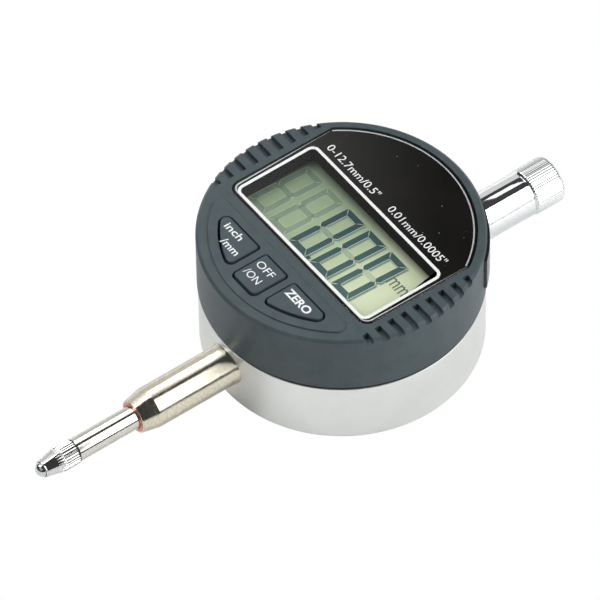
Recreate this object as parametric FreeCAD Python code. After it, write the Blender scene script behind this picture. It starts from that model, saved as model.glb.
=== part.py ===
"""Digital dial indicator, lying on its flat back.

Millimetres. Origin: centre of the back face. +Z out of the display, +Y along the
spindle towards the dust cap, +X the way the display reads. The spindle is drawn
fully out, at the bottom of its travel.
"""
import FreeCAD, Part
import math
import os

from FreeCAD import Vector

# ---- body ----
BEZEL_R = 26.5
BEZEL_WALL = 2.0
BEZEL_Z0 = 14.5
FACE_Z = 27.4
FACE_UNDER_Z = 25.0
FACE_CHAMFER = 0.5
HOUSING_R = 26.3
HOUSING_WALL = 2.5
HOUSING_Z1 = 13.85
HOUSING_EDGE = 0.5
HOUSING_Z0 = 0.15
SEAL_R = 26.25
FLOOR_Z0 = 1.6
FLOOR_Z1 = 3.0
BACK_R = 24.8
BACK_GAP = 0.1

# ---- spindle line ----
AXIS_Z = 8.5
SPINDLE_R = 2.25
BUSH_BORE_R = 2.29
TRAVEL = 12.7
TIP_Y = -68.6
CONTACT_Y0 = -67.4
CONTACT_NOSE_R = 1.6
CONTACT_BACK_R = 2.3
CONTACT_KNURL_R = 2.47
CONTACT_KNURL_DEPTH = 0.2
CONTACT_TEETH = 26
CONTACT_Y1 = -63.2
CONTACT_Y2 = -60.2
SPINDLE_Y1 = 33.0
BALL_R = 1.45
THREAD_R = 1.25
THREAD_LENGTH = 4.0
THREAD_HOLE_END = 0.5

# ---- stem and cap ----
STEM_R = 4.0
STEM_NOSE_R = 3.3
STEM_NOSE_Y = -47.1
STEM_CONE_Y = -42.8
STEM_IN_Y = -17.0
STEM_BORE_R = 3.0
BUSH_R = 2.75
BOSS_R = 5.6
CAP_R = 4.4
CAP_GRIP_R = 4.6
CAP_Y0 = 26.45
CAP_GROOVE_Y = 41.3
CAP_Y1 = 48.3
CAP_BORE_R = 3.4
CAP_BORE_Y1 = 47.0
CAP_GROOVE_DEPTH = 0.25
CAP_GROOVE_WIDTH = 0.3
CAP_KNURL_DEPTH = 0.1
CAP_TEETH = 54
CAP_CROWN = 0.9
CAP_CROWN_R = 4.0
FLARE_RISE = 0.3
FLARE_Y0 = -26.9
FLARE_Y1 = -25.6
BUSH_IN_Y = -39.0
BUSH_LIP = 0.1
UPPER_BUSH_Y = 26.2
NECK_R = 3.33
NECK_Y1 = 31.5

# ---- window and display ----
WINDOW_X = 20.95
WINDOW_Y0 = -10.3
WINDOW_ARC_R = 24.8
WINDOW_CORNER = 2.2
WINDOW_SHOULDER = 0.5
LENS_GAP = 0.1
MASK_GAP = 0.25
POCKET_Z = 26.1
LENS_Z1 = 27.15
MASK_Z1 = 27.28
VIEW_X = 19.04
VIEW_Y0 = -9.09
VIEW_Y1 = 7.89
VIEW_CORNER = 1.0
WELL_GAP = 0.26
WELL_WALL = 0.6
LCD_X = 20.0
LCD_Y0 = -9.9
LCD_Y1 = 8.6
LCD_Z0 = 22.2
LCD_Z1 = 24.0
FRAME_WALL = 0.7
FRAME_IN_X = 18.6
FRAME_IN_Y0 = -8.0
FRAME_IN_Y1 = 7.2
FRAME_EAR_Z1 = 23.6
ZEBRA_X = 17.0
ZEBRA_Y0 = -9.6
ZEBRA_Y1 = -8.2

# ---- keypad ----
PAD_R = 24.3
PAD_Y = -12.4
PAD_RISE = 0.35
PAD_CORNER = 1.7
PAD_EDGE = 0.2
KEY_RISE = 0.35
KEY_TOP_Y = -14.2
KEY_IN_X = 5.0
KEY_ARC_R = 22.4
KEY_MID_X = 3.5
KEY_MID_Y = -22.5
KEY_GAP = 0.26
KEY_TRAVEL = 0.4
KEY_EDGE = 0.25
KEY_FLANGE = 0.45
KEY_FLANGE_Z0 = 24.2
KEY_PIN_R = 1.1
KEY_PIN_GAP = 0.05
KEY_TOP_CORNER = 0.8
KEY_FOOT_CORNER = 1.2
KEY_OUTER_CORNER = 1.5
LEAST_CORNER = 0.3
KEY_PLACES = {"units_button": (-9.6, -17.6), "power_button": (0.0, -18.4), "zero_button": (9.6, -17.6)}

# ---- grip notches ----
NOTCH_COUNT = 9
NOTCH_PITCH = 2.825
NOTCH_WIDTH = 1.05
NOTCH_DEPTH = 0.6
NOTCH_X = 22.2

# ---- battery drawer ----
DOOR_DEG = 57.0
DOOR_HALF = 7.3
DOOR_Z0 = 17.75
DOOR_Z1 = 25.25
DOOR_GAP = 0.22
DOOR_CUT_U = 20.0
BEYOND = 30.0
DOOR_BULGE = 0.5
CELL_R = 5.8
CELL_H = 5.4
CELL_U = 18.5
CELL_Z = 18.6
TRAY_R = 6.35
TRAY_U1 = 24.9
TRAY_Z0 = 18.2
TRAY_Z1 = 23.8
TRAY_HOLE_R = 4.6
DOOR_PLATE_U = 15.0
CELL_STEP = 0.9
CELL_LIP = 0.5
PLUS_LEG_U = (11.25, 11.5)
PLUS_Z0 = 24.15
MINUS_LEG_U = (11.0, 11.25)
MINUS_Z0 = 17.8
CONTACT_HALF = 0.9
CONTACT_THICK = 0.2
CONTACT_ARM_U = 20.0

# ---- boards and fasteners ----
BOARD_Z0 = 19.0
BOARD_Z1 = 20.0
BOARD_R = 24.0
POST_PLACES = ((-18.8, -12.0), (18.8, -12.0), (-19.7, 10.5), (19.7, 10.5))
POST_R = 1.4
BOARD_SCREW_R = 0.8
BOARD_SCREW_Z1 = 23.8
BOARD_CUT_U = 11.7
BOARD_CUT_HALF = 7.9
CASE_SCREW_R = 1.0
CASE_POST_R = 2.2
CASE_POST_Z1 = 18.8
CASE_SCREW_Z0 = 1.9
CASE_SCREW_Z1 = 18.0
CASE_HEAD_HEIGHT = 1.2
HEAD_R = 1.9
BACK_POST_R = 2.0
BACK_POST_Z1 = 6.0
BACK_SCREW_Z0 = 0.1
BACK_SCREW_Z1 = 5.0
BACK_HEAD_HEIGHT = 0.9
BACK_EDGE = 0.3
STATOR_POST_R = 1.6
SMALL_HEAD_R = 1.4
SMALL_HEAD_HEIGHT = 0.7
SLOT_HALF_WIDTH = 0.15
SLOT_DEPTH = 0.35
LAP = 0.5
END_GAP = 0.2
STATOR_SCREW_Z0 = 9.2


def ring_places(radius, angles):
    return tuple((radius * math.cos(math.radians(a)), radius * math.sin(math.radians(a))) for a in angles)


CASE_PLACES = ring_places(22.6, (15, 165, 195, 345))
BACK_PLACES = ring_places(20.0, (45, 135, 225, 315))
CHIP_PLACE = (-6.0, -1.0)
CHIP_R = 6.0
CHIP_SINK = 4.8
SWITCH_X = 1.8
SWITCH_Y = 1.5
SWITCH_BODY_Z1 = 21.6
SWITCH_STEM_R = 0.9
SWITCH_Z1 = 22.0
HEADER_X = (-14.2, -5.8)
HEADER_Y = (8.0, 10.4)
STATOR_HALF = (12.0, 16.6)
STATOR_CORNER = 1.5
STATOR_Z0 = 13.6
STATOR_Z1 = 14.4
STATOR_PLACES = ((-10.0, -15.0), (10.0, -15.0), (-10.0, 15.0), (10.0, 15.0))

# ---- sensor carriage and guide ----
CARRIER_Y0 = -16.3
CARRIER_Y1 = -8.3
CARRIER_TOP = 12.2
PIN_Y = -11.3
PIN_R = 0.75
PIN_END_X = -10.6
SLOT_GAP = 0.04
RAIL_X0 = -11.6
RAIL_X1 = -7.6
RAIL_FOOT_X = -13.2
RAIL_FOOT_PLACES = (-6.0, 4.0)
RAIL_SCREW_R = 0.8
RAIL_SCREW_Z0 = 1.9
RAIL_Y0 = -13.3
RAIL_Y1 = 6.5
RAIL_TOP = 12.0
RAIL_FOOT_X0 = -15.0
RAIL_FOOT_HALF = 2.0
RAIL_FOOT_TOP = 4.4
CARRIER_X = 5.0
CARRIER_Z0 = 5.0
CARRIER_SCREW_Z = 4.4
STRIP_X = 4.5
STRIP_Y1 = 3.0
STRIP_TOP = 13.1
WASHER_R = 3.8
WASHER_THICK = 0.6

# ---- return spring ----
SPRING_R = 2.95
SPRING_WIRE_R = 0.2
SPRING_WIRE_SIDES = 8
SPRING_TURNS = 11

X = Vector(1, 0, 0)
Y = Vector(0, 1, 0)
Z = Vector(0, 0, 1)


def box(x0, x1, y0, y1, z0, z1):
    return Part.makeBox(x1 - x0, y1 - y0, z1 - z0, Vector(x0, y0, z0))


def post(x, y, radius, z0, z1):
    return Part.makeCylinder(radius, z1 - z0, Vector(x, y, z0), Z)


def rod(radius, y0, y1, x=0.0, z=AXIS_Z):
    return Part.makeCylinder(radius, y1 - y0, Vector(x, y0, z), Y)


def taper(radius0, radius1, y0, y1):
    return Part.makeCone(radius0, radius1, y1 - y0, Vector(0, y0, AXIS_Z), Y)


def spun(profile):
    """Turns a closed (radius, height) outline round the Z axis."""
    points = [Vector(r, 0, h) for r, h in profile]
    face = Part.Face(Part.makePolygon(points + [points[0]]))
    return face.revolve(Vector(0, 0, 0), Z, 360)


def round_uprights(solid, corners):
    """Rounds the upright edges that stand at the given (x, y, radius) corners."""
    for x, y, radius in corners:
        edges = []
        for edge in solid.Edges:
            ends = [v.Point for v in edge.Vertexes]
            if len(ends) != 2 or abs(ends[0].x - ends[1].x) > 1e-6 or abs(ends[0].y - ends[1].y) > 1e-6:
                continue
            if math.hypot(ends[0].x - x, ends[0].y - y) < 0.05:
                edges.append(edge)
        solid = solid.makeFillet(radius, edges)
    return solid


def soften_top(solid, z, size):
    """Chamfers every edge that lies in the flat top face at height z."""
    edges = [e for e in solid.Edges if all(abs(v.Point.z - z) < 1e-6 for v in e.Vertexes)]
    return solid.makeChamfer(size, edges)


def rounded_box(x0, x1, y0, y1, z0, z1, radius):
    solid = box(x0, x1, y0, y1, z0, z1)
    return round_uprights(solid, [(x, y, radius) for x in (x0, x1) for y in (y0, y1)])


def star_prism(radius, depth, teeth, y0, y1):
    """A straight-knurled length: a star outline with flat-sided teeth along Y."""
    points = []
    for i in range(teeth):
        for share, r in ((0.0, radius - depth), (0.35, radius), (0.65, radius)):
            turn = 2 * math.pi * (i + share) / teeth
            points.append(Vector(r * math.cos(turn), y0, AXIS_Z + r * math.sin(turn)))
    face = Part.Face(Part.makePolygon(points + [points[0]]))
    return face.extrude(Vector(0, y1 - y0, 0))


def window_prism(shrink, z0, z1):
    """The window's outline, drawn in by shrink: straight sides and foot under a round head."""
    x = WINDOW_X - shrink
    y0 = WINDOW_Y0 + shrink
    head = WINDOW_ARC_R - shrink
    solid = box(-x, x, y0, head, z0, z1).common(post(0, 0, head, z0, z1))
    shoulder = math.sqrt(head * head - x * x)
    foot = WINDOW_CORNER - shrink
    small = WINDOW_SHOULDER
    corners = [(-x, y0, foot), (x, y0, foot), (-x, shoulder, small), (x, shoulder, small)]
    return round_uprights(solid, corners)


def view_prism(grow, z0, z1):
    return rounded_box(
        -VIEW_X - grow, VIEW_X + grow, VIEW_Y0 - grow, VIEW_Y1 + grow, z0, z1, VIEW_CORNER + grow
    )


def key_prism(name, shrink, z0, z1):
    """One key's outline, drawn in by shrink: a rounded oblong, or a wedge under an arc."""
    top = KEY_TOP_Y - shrink
    if name == "power_button":
        x = KEY_MID_X - shrink
        foot = KEY_MID_Y + shrink
        solid = box(-x, x, foot, top, z0, z1)
        small = max(KEY_TOP_CORNER - shrink, LEAST_CORNER)
        large = max(KEY_FOOT_CORNER - shrink, LEAST_CORNER)
        corners = [(-x, top, small), (x, top, small), (-x, foot, large), (x, foot, large)]
        return round_uprights(solid, corners)
    side = -1 if name == "units_button" else 1
    arc = KEY_ARC_R - shrink
    inner = KEY_IN_X + shrink
    solid = box(inner, arc, -arc, top, z0, z1).common(post(0, 0, arc, z0, z1))
    corners = [
        (inner, top, max(KEY_TOP_CORNER - shrink, LEAST_CORNER)),
        (math.sqrt(arc * arc - top * top), top, KEY_OUTER_CORNER - shrink),
        (inner, -math.sqrt(arc * arc - inner * inner), max(KEY_FOOT_CORNER - shrink, LEAST_CORNER)),
    ]
    solid = round_uprights(solid, corners)
    return solid if side == 1 else solid.mirror(Vector(0, 0, 0), X)


def door_box(u0, u1, half, z0, z1):
    """A box drawn outwards along +X, then turned to face the way the battery drawer opens."""
    solid = box(u0, u1, -half, half, z0, z1)
    solid.rotate(Vector(0, 0, 0), Z, DOOR_DEG)
    return solid


def door_post(u, radius, z0, z1):
    solid = post(u, 0, radius, z0, z1)
    solid.rotate(Vector(0, 0, 0), Z, DOOR_DEG)
    return solid


def screw(x, y, z_head, z_end, radius, head_radius, head_height):
    """A screw whose head's outer face is at z_head and whose end is at z_end."""
    way = 1 if z_end > z_head else -1
    head = Part.makeCylinder(head_radius, head_height, Vector(x, y, z_head), Vector(0, 0, way))
    shank = Part.makeCylinder(radius, abs(z_end - z_head), Vector(x, y, z_head), Vector(0, 0, way))
    half = SLOT_HALF_WIDTH
    slot = box(x - head_radius, x + head_radius, y - half, y + half, z_head - SLOT_DEPTH, z_head + SLOT_DEPTH)
    return head.fuse(shank).removeSplitter().cut(slot)


# ---------------------------------------------------------------- case

def rear_housing():
    inner = HOUSING_R - HOUSING_WALL
    cup = spun(
        [
            (BACK_R + BACK_GAP, HOUSING_Z0),
            (HOUSING_R - HOUSING_EDGE, HOUSING_Z0),
            (HOUSING_R, HOUSING_Z0 + HOUSING_EDGE),
            (HOUSING_R, HOUSING_Z1),
            (inner, HOUSING_Z1),
            (inner, FLOOR_Z1),
            (0, FLOOR_Z1),
            (0, FLOOR_Z0),
            (BACK_R + BACK_GAP, FLOOR_Z0),
        ]
    )
    cavity = post(0, 0, inner + LAP, FLOOR_Z1 - LAP, HOUSING_Z1)
    bosses = rod(BOSS_R, -inner - LAP, STEM_IN_Y).fuse(rod(BOSS_R, -STEM_IN_Y, inner + LAP))
    cup = cup.fuse(bosses.common(cavity))
    for x, y in CASE_PLACES:
        cup = cup.fuse(post(x, y, CASE_POST_R, FLOOR_Z1 - LAP, HOUSING_Z1).common(cavity))
    for x, y in BACK_PLACES:
        cup = cup.fuse(post(x, y, BACK_POST_R, FLOOR_Z1 - LAP, BACK_POST_Z1))
    for x, y in STATOR_PLACES:
        cup = cup.fuse(post(x, y, STATOR_POST_R, FLOOR_Z1 - LAP, STATOR_Z0))
    cuts = [rod(STEM_R, -HOUSING_R - 1, HOUSING_R + 1)]
    cuts += [post(x, y, CASE_SCREW_R, 0, HOUSING_Z1 + 1) for x, y in CASE_PLACES]
    cuts += [post(x, y, HEAD_R, 0, CASE_SCREW_Z0 + CASE_HEAD_HEIGHT) for x, y in CASE_PLACES]
    cuts += [post(x, y, CASE_SCREW_R, 0, BACK_SCREW_Z1 + END_GAP) for x, y in BACK_PLACES]
    cuts += [post(x, y, BOARD_SCREW_R, STATOR_SCREW_Z0 - END_GAP, STATOR_Z0 + 1) for x, y in STATOR_PLACES]
    cuts += [post(RAIL_FOOT_X, y, RAIL_SCREW_R, RAIL_SCREW_Z0, FLOOR_Z1 + 1) for y in RAIL_FOOT_PLACES]
    return cup.removeSplitter().cut(cuts)


def back_cover():
    plate = spun([(0, 0), (BACK_R - BACK_EDGE, 0), (BACK_R, BACK_EDGE), (BACK_R, FLOOR_Z0), (0, FLOOR_Z0)])
    holes = []
    for x, y in BACK_PLACES:
        holes.append(post(x, y, CASE_SCREW_R, -1, FLOOR_Z0 + 1))
        holes.append(post(x, y, HEAD_R, -1, BACK_SCREW_Z0 + BACK_HEAD_HEIGHT))
    return plate.cut(holes)


def back_cover_screws():
    return [
        screw(x, y, BACK_SCREW_Z0, BACK_SCREW_Z1, CASE_SCREW_R, HEAD_R, BACK_HEAD_HEIGHT)
        for x, y in BACK_PLACES
    ]


def case_screws():
    return [
        screw(x, y, CASE_SCREW_Z0, CASE_SCREW_Z1, CASE_SCREW_R, HEAD_R, CASE_HEAD_HEIGHT)
        for x, y in CASE_PLACES
    ]


def seal_ring():
    inner = BEZEL_R - BEZEL_WALL
    return post(0, 0, SEAL_R, HOUSING_Z1, BEZEL_Z0).cut(post(0, 0, inner, HOUSING_Z1 - 1, BEZEL_Z0 + 1))


def front_bezel():
    inner = BEZEL_R - BEZEL_WALL
    shell = spun(
        [
            (inner, BEZEL_Z0),
            (BEZEL_R, BEZEL_Z0),
            (BEZEL_R, FACE_Z - FACE_CHAMFER),
            (BEZEL_R - FACE_CHAMFER, FACE_Z),
            (0, FACE_Z),
            (0, FACE_UNDER_Z),
            (inner, FACE_UNDER_Z),
        ]
    )
    inside = post(0, 0, inner + LAP, BEZEL_Z0, FACE_UNDER_Z + LAP)
    pad = post(0, 0, PAD_R, FACE_Z - LAP, FACE_Z + PAD_RISE).cut(box(-30, 30, PAD_Y, 30, 0, 40))
    corner_x = math.sqrt(PAD_R * PAD_R - PAD_Y * PAD_Y)
    pad = round_uprights(pad, [(-corner_x, PAD_Y, PAD_CORNER), (corner_x, PAD_Y, PAD_CORNER)])
    shell = shell.fuse(soften_top(pad, FACE_Z + PAD_RISE, PAD_EDGE))
    shell = shell.fuse(view_prism(WELL_GAP + WELL_WALL, LCD_Z1, FACE_UNDER_Z + LAP))
    for x, y in POST_PLACES:
        shell = shell.fuse(post(x, y, POST_R, BOARD_Z1, FACE_UNDER_Z + LAP))
    for x, y in CASE_PLACES:
        shell = shell.fuse(post(x, y, CASE_POST_R, BEZEL_Z0, CASE_POST_Z1).common(inside))
    cuts = [window_prism(0.0, POCKET_Z, FACE_Z + 1), view_prism(WELL_GAP, LCD_Z1 - 1, FACE_Z)]
    cuts += [key_prism(name, 0.0, FACE_UNDER_Z - 1, FACE_Z + 2) for name in KEY_PLACES]
    cuts += [post(x, y, BOARD_SCREW_R, BOARD_Z1 - 1, BOARD_SCREW_Z1 + END_GAP) for x, y in POST_PLACES]
    cuts += [post(x, y, CASE_SCREW_R, BEZEL_Z0 - 1, CASE_SCREW_Z1 + END_GAP) for x, y in CASE_PLACES]
    cuts.append(door_box(DOOR_CUT_U, BEYOND, DOOR_HALF + DOOR_GAP, DOOR_Z0 - DOOR_GAP, DOOR_Z1 + DOOR_GAP))
    for i in range(NOTCH_COUNT):
        y = (i - (NOTCH_COUNT - 1) / 2) * NOTCH_PITCH
        for x0, x1 in ((-BEYOND, -NOTCH_X), (NOTCH_X, BEYOND)):
            notch = box(x0, x1, y - NOTCH_WIDTH / 2, y + NOTCH_WIDTH / 2, FACE_Z - NOTCH_DEPTH, FACE_Z + 1)
            cuts.append(notch)
    return shell.removeSplitter().cut(cuts)


# ---------------------------------------------------------------- window and display

def window_lens():
    return window_prism(LENS_GAP, POCKET_Z, LENS_Z1)


def window_mask():
    return window_prism(MASK_GAP, LENS_Z1, MASK_Z1).cut(view_prism(0.0, LENS_Z1 - 1, MASK_Z1 + 1))


def lcd_panel():
    return box(-LCD_X, LCD_X, LCD_Y0, LCD_Y1, LCD_Z0, LCD_Z1)


def lcd_frame():
    foot_y = LCD_Y0 - FRAME_WALL + 0.3
    head_y = LCD_Y1 + 0.1
    outer = LCD_X + FRAME_WALL
    ring = box(-outer, outer, foot_y, head_y, BOARD_Z1, LCD_Z0)
    ring = ring.cut(box(-FRAME_IN_X, FRAME_IN_X, FRAME_IN_Y0, FRAME_IN_Y1, BOARD_Z1 - 1, LCD_Z0 + 1))
    zebra_x = ZEBRA_X + 0.1
    ring = ring.cut(box(-zebra_x, zebra_x, ZEBRA_Y0 - 0.1, FRAME_IN_Y0 + 0.1, BOARD_Z1 - 1, LCD_Z0 + 1))
    for side in (-1, 1):
        x0, x1 = sorted((side * (LCD_X + 0.05), side * outer))
        ring = ring.fuse(box(x0, x1, foot_y, head_y, LCD_Z0 - END_GAP, FRAME_EAR_Z1))
    return ring.removeSplitter()


def zebra_strip():
    return box(-ZEBRA_X, ZEBRA_X, ZEBRA_Y0, ZEBRA_Y1, BOARD_Z1, LCD_Z0)


# ---------------------------------------------------------------- electronics

def main_board():
    board = post(0, 0, BOARD_R, BOARD_Z0, BOARD_Z1)
    cuts = [door_box(BOARD_CUT_U, BEYOND, BOARD_CUT_HALF, BOARD_Z0 - 1, BOARD_Z1 + 1)]
    cuts += [post(x, y, BOARD_SCREW_R, BOARD_Z0 - 1, BOARD_Z1 + 1) for x, y in POST_PLACES]
    return board.cut(cuts)


def controller_chip():
    """A drop of potting resin under the board."""
    x, y = CHIP_PLACE
    half = CHIP_R
    blob = Part.makeSphere(CHIP_R, Vector(x, y, BOARD_Z0 + CHIP_SINK))
    return blob.common(box(x - half, x + half, y - half, y + half, BOARD_Z0 - CHIP_R, BOARD_Z0))


def tact_switches():
    switches = []
    for x, y in KEY_PLACES.values():
        body = box(x - SWITCH_X, x + SWITCH_X, y - SWITCH_Y, y + SWITCH_Y, BOARD_Z1, SWITCH_BODY_Z1)
        switches.append(body.fuse(post(x, y, SWITCH_STEM_R, SWITCH_BODY_Z1, SWITCH_Z1)))
    return switches


def board_screws():
    head_z = BOARD_Z0 - SMALL_HEAD_HEIGHT
    return [
        screw(x, y, head_z, BOARD_SCREW_Z1, BOARD_SCREW_R, SMALL_HEAD_R, SMALL_HEAD_HEIGHT)
        for x, y in POST_PLACES
    ]


def board_connector():
    return box(*HEADER_X, *HEADER_Y, STATOR_Z1, BOARD_Z0)


def stator_board():
    x, y = STATOR_HALF
    board = rounded_box(-x, x, -y, y, STATOR_Z0, STATOR_Z1, STATOR_CORNER)
    return board.cut([post(x, y, BOARD_SCREW_R, STATOR_Z0 - 1, STATOR_Z1 + 1) for x, y in STATOR_PLACES])


def stator_screws():
    head_z = STATOR_Z1 + SMALL_HEAD_HEIGHT
    return [
        screw(x, y, head_z, STATOR_SCREW_Z0, BOARD_SCREW_R, SMALL_HEAD_R, SMALL_HEAD_HEIGHT)
        for x, y in STATOR_PLACES
    ]


# ---------------------------------------------------------------- keys

def key(name):
    x, y = KEY_PLACES[name]
    top = FACE_Z + PAD_RISE + KEY_RISE
    cap = soften_top(key_prism(name, KEY_GAP, FACE_UNDER_Z - 0.3, top), top, KEY_EDGE)
    flange = key_prism(name, -KEY_FLANGE, KEY_FLANGE_Z0, FACE_UNDER_Z - KEY_PIN_GAP)
    plunger = post(x, y, KEY_PIN_R, SWITCH_Z1 + KEY_TRAVEL + KEY_PIN_GAP, KEY_FLANGE_Z0 + END_GAP)
    return cap.fuse([flange, plunger]).removeSplitter()


# ---------------------------------------------------------------- spindle group

def stem():
    body = rod(STEM_R, STEM_CONE_Y, STEM_IN_Y).fuse(taper(STEM_NOSE_R, STEM_R, STEM_NOSE_Y, STEM_CONE_Y))
    flare = taper(STEM_R, STEM_R + FLARE_RISE, FLARE_Y0, FLARE_Y1).cut(post(0, 0, HOUSING_R, 0, HOUSING_Z1))
    body = body.fuse(flare).removeSplitter()
    return body.cut([rod(BUSH_R, STEM_NOSE_Y - LAP, BUSH_IN_Y), rod(STEM_BORE_R, BUSH_IN_Y, STEM_IN_Y + LAP)])


def lower_bush():
    bore = rod(BUSH_BORE_R, STEM_NOSE_Y - LAP, BUSH_IN_Y + LAP)
    return rod(BUSH_R, STEM_NOSE_Y - BUSH_LIP, BUSH_IN_Y).cut(bore)


def upper_bush():
    neck = rod(NECK_R, UPPER_BUSH_Y, NECK_Y1)
    bush = rod(STEM_R, -STEM_IN_Y, UPPER_BUSH_Y).fuse(neck).removeSplitter()
    return bush.cut(rod(BUSH_BORE_R, 0, NECK_Y1 + LAP))


def dust_cap():
    grip_y = CAP_GROOVE_Y + CAP_GROOVE_WIDTH
    crown_y = CAP_Y1 - CAP_CROWN
    outer = CAP_GRIP_R + LAP
    sleeve = rod(CAP_R, CAP_Y0, CAP_GROOVE_Y).fuse(rod(CAP_R - CAP_GROOVE_DEPTH, CAP_GROOVE_Y, grip_y))
    grip = star_prism(CAP_GRIP_R, CAP_KNURL_DEPTH, CAP_TEETH, grip_y, CAP_Y1)
    crown = taper(outer, CAP_CROWN_R, crown_y, CAP_Y1).fuse(rod(outer, grip_y, crown_y))
    cap = sleeve.fuse(grip.common(crown)).removeSplitter()
    return cap.cut(rod(CAP_BORE_R, CAP_Y0 - LAP, CAP_BORE_Y1))


def spindle():
    shaft = rod(SPINDLE_R, CONTACT_Y2, SPINDLE_Y1)
    return shaft.cut(rod(THREAD_R, CONTACT_Y2 - LAP, CONTACT_Y2 + THREAD_LENGTH + THREAD_HOLE_END))


def contact_point():
    nose = taper(CONTACT_NOSE_R, CONTACT_BACK_R, CONTACT_Y0, CONTACT_Y1)
    knurl = star_prism(CONTACT_KNURL_R, CONTACT_KNURL_DEPTH, CONTACT_TEETH, CONTACT_Y1, CONTACT_Y2)
    thread = rod(THREAD_R, CONTACT_Y2 - LAP, CONTACT_Y2 + THREAD_LENGTH)
    body = nose.fuse([knurl, thread]).removeSplitter()
    return body.cut(ball_tip())


def ball_tip():
    return Part.makeSphere(BALL_R, Vector(0, TIP_Y + BALL_R, AXIS_Z))


def stop_washer():
    bore = rod(BUSH_BORE_R + 0.1, STEM_IN_Y - LAP, STEM_IN_Y + WASHER_THICK + LAP)
    return rod(WASHER_R, STEM_IN_Y, STEM_IN_Y + WASHER_THICK).cut(bore)


def scale_carrier():
    block = box(-CARRIER_X, CARRIER_X, CARRIER_Y0, CARRIER_Y1, CARRIER_Z0, CARRIER_TOP)
    bore = rod(SPINDLE_R, CARRIER_Y0 - LAP, CARRIER_Y1 + LAP)
    return block.cut([bore, post(0, PIN_Y, BOARD_SCREW_R, 0, AXIS_Z), side_rod(PIN_R, -CARRIER_X - LAP, 0)])


def side_rod(radius, x0, x1):
    return Part.makeCylinder(radius, x1 - x0, Vector(x0, PIN_Y, AXIS_Z), X)


def carrier_screw():
    head = CARRIER_Z0 - CARRIER_SCREW_Z
    return screw(0, PIN_Y, CARRIER_SCREW_Z, AXIS_Z - SPINDLE_R, BOARD_SCREW_R, SMALL_HEAD_R, head)


def scale_strip():
    return box(-STRIP_X, STRIP_X, CARRIER_Y0, STRIP_Y1, CARRIER_TOP, STRIP_TOP)


def guide_pin():
    return side_rod(PIN_R, PIN_END_X, -SPINDLE_R)


def guide_rail():
    rail = box(RAIL_X0, RAIL_X1, RAIL_Y0, RAIL_Y1, FLOOR_Z1, RAIL_TOP)
    half = PIN_R + SLOT_GAP
    slot = box(RAIL_X0 - 1, RAIL_X1 + 1, PIN_Y - half, PIN_Y + TRAVEL + half, AXIS_Z - half, AXIS_Z + half)
    reach = RAIL_FOOT_HALF
    feet = [
        box(RAIL_FOOT_X0, RAIL_X0 + LAP, y - reach, y + reach, FLOOR_Z1, RAIL_FOOT_TOP)
        for y in RAIL_FOOT_PLACES
    ]
    rail = rail.cut(slot).fuse(feet).removeSplitter()
    return rail.cut([post(RAIL_FOOT_X, y, RAIL_SCREW_R, 0, 20) for y in RAIL_FOOT_PLACES])


def rail_screws():
    top = RAIL_FOOT_TOP + SMALL_HEAD_HEIGHT
    return [
        screw(RAIL_FOOT_X, y, top, RAIL_SCREW_Z0 + 0.1, RAIL_SCREW_R, SMALL_HEAD_R, SMALL_HEAD_HEIGHT)
        for y in RAIL_FOOT_PLACES
    ]


def return_spring():
    """A coil round the spindle, its wire drawn with flat sides."""
    length = -STEM_IN_Y - CARRIER_Y1 - 2 * SPRING_WIRE_R
    coil = Part.makeHelix(length / SPRING_TURNS, length, SPRING_R).Edges[0]
    start = coil.valueAt(coil.FirstParameter)
    out = X
    across = coil.tangentAt(coil.FirstParameter).cross(out).normalize()
    corners = []
    for i in range(SPRING_WIRE_SIDES):
        turn = 2 * math.pi * i / SPRING_WIRE_SIDES
        corners.append(start + (out * math.cos(turn) + across * math.sin(turn)) * SPRING_WIRE_R)
    section = Part.makePolygon(corners + [corners[0]])
    spring = Part.Wire([coil]).makePipeShell([section], True, True)
    spring.rotate(Vector(0, 0, 0), X, -90)
    spring.translate(Vector(0, CARRIER_Y1 + SPRING_WIRE_R, AXIS_Z))
    return spring


# ---------------------------------------------------------------- battery drawer

def battery_door():
    """The cover and the tray that holds the cell, as one moulding."""
    plate = post(0, 0, BEZEL_R + DOOR_BULGE, DOOR_Z0, DOOR_Z1)
    plate = plate.cut(post(0, 0, BEZEL_R - BEZEL_WALL + 0.1, 0, BEYOND))
    plate = plate.common(door_box(DOOR_PLATE_U, BEYOND, DOOR_HALF, DOOR_Z0, DOOR_Z1))
    sides = door_box(CELL_U, TRAY_U1, TRAY_R, TRAY_Z0, TRAY_Z1)
    tray = door_post(CELL_U, TRAY_R, TRAY_Z0, TRAY_Z1).fuse(sides)
    tray = tray.common(post(0, 0, BEZEL_R, 0, BEYOND))
    door = plate.fuse(tray).removeSplitter()
    pocket = door_post(CELL_U, CELL_R, CELL_Z, BEYOND)
    return door.cut([pocket, door_post(CELL_U, TRAY_HOLE_R, 0, BEYOND)])


def battery_cell():
    step_z = CELL_Z + CELL_STEP
    can = door_post(CELL_U, CELL_R, step_z, CELL_Z + CELL_H)
    return can.fuse(door_post(CELL_U, CELL_R - CELL_LIP, CELL_Z, step_z)).removeSplitter()


def battery_contact_plus():
    leg = door_box(*PLUS_LEG_U, CONTACT_HALF, BOARD_Z1, PLUS_Z0 + CONTACT_THICK)
    arm = door_box(PLUS_LEG_U[0], CONTACT_ARM_U, CONTACT_HALF, PLUS_Z0, PLUS_Z0 + CONTACT_THICK)
    return leg.fuse(arm).removeSplitter()


def battery_contact_minus():
    leg = door_box(*MINUS_LEG_U, CONTACT_HALF, MINUS_Z0, BOARD_Z0)
    arm = door_box(MINUS_LEG_U[0], CONTACT_ARM_U, CONTACT_HALF, MINUS_Z0, MINUS_Z0 + CONTACT_THICK)
    return leg.fuse(arm).removeSplitter()


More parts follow.
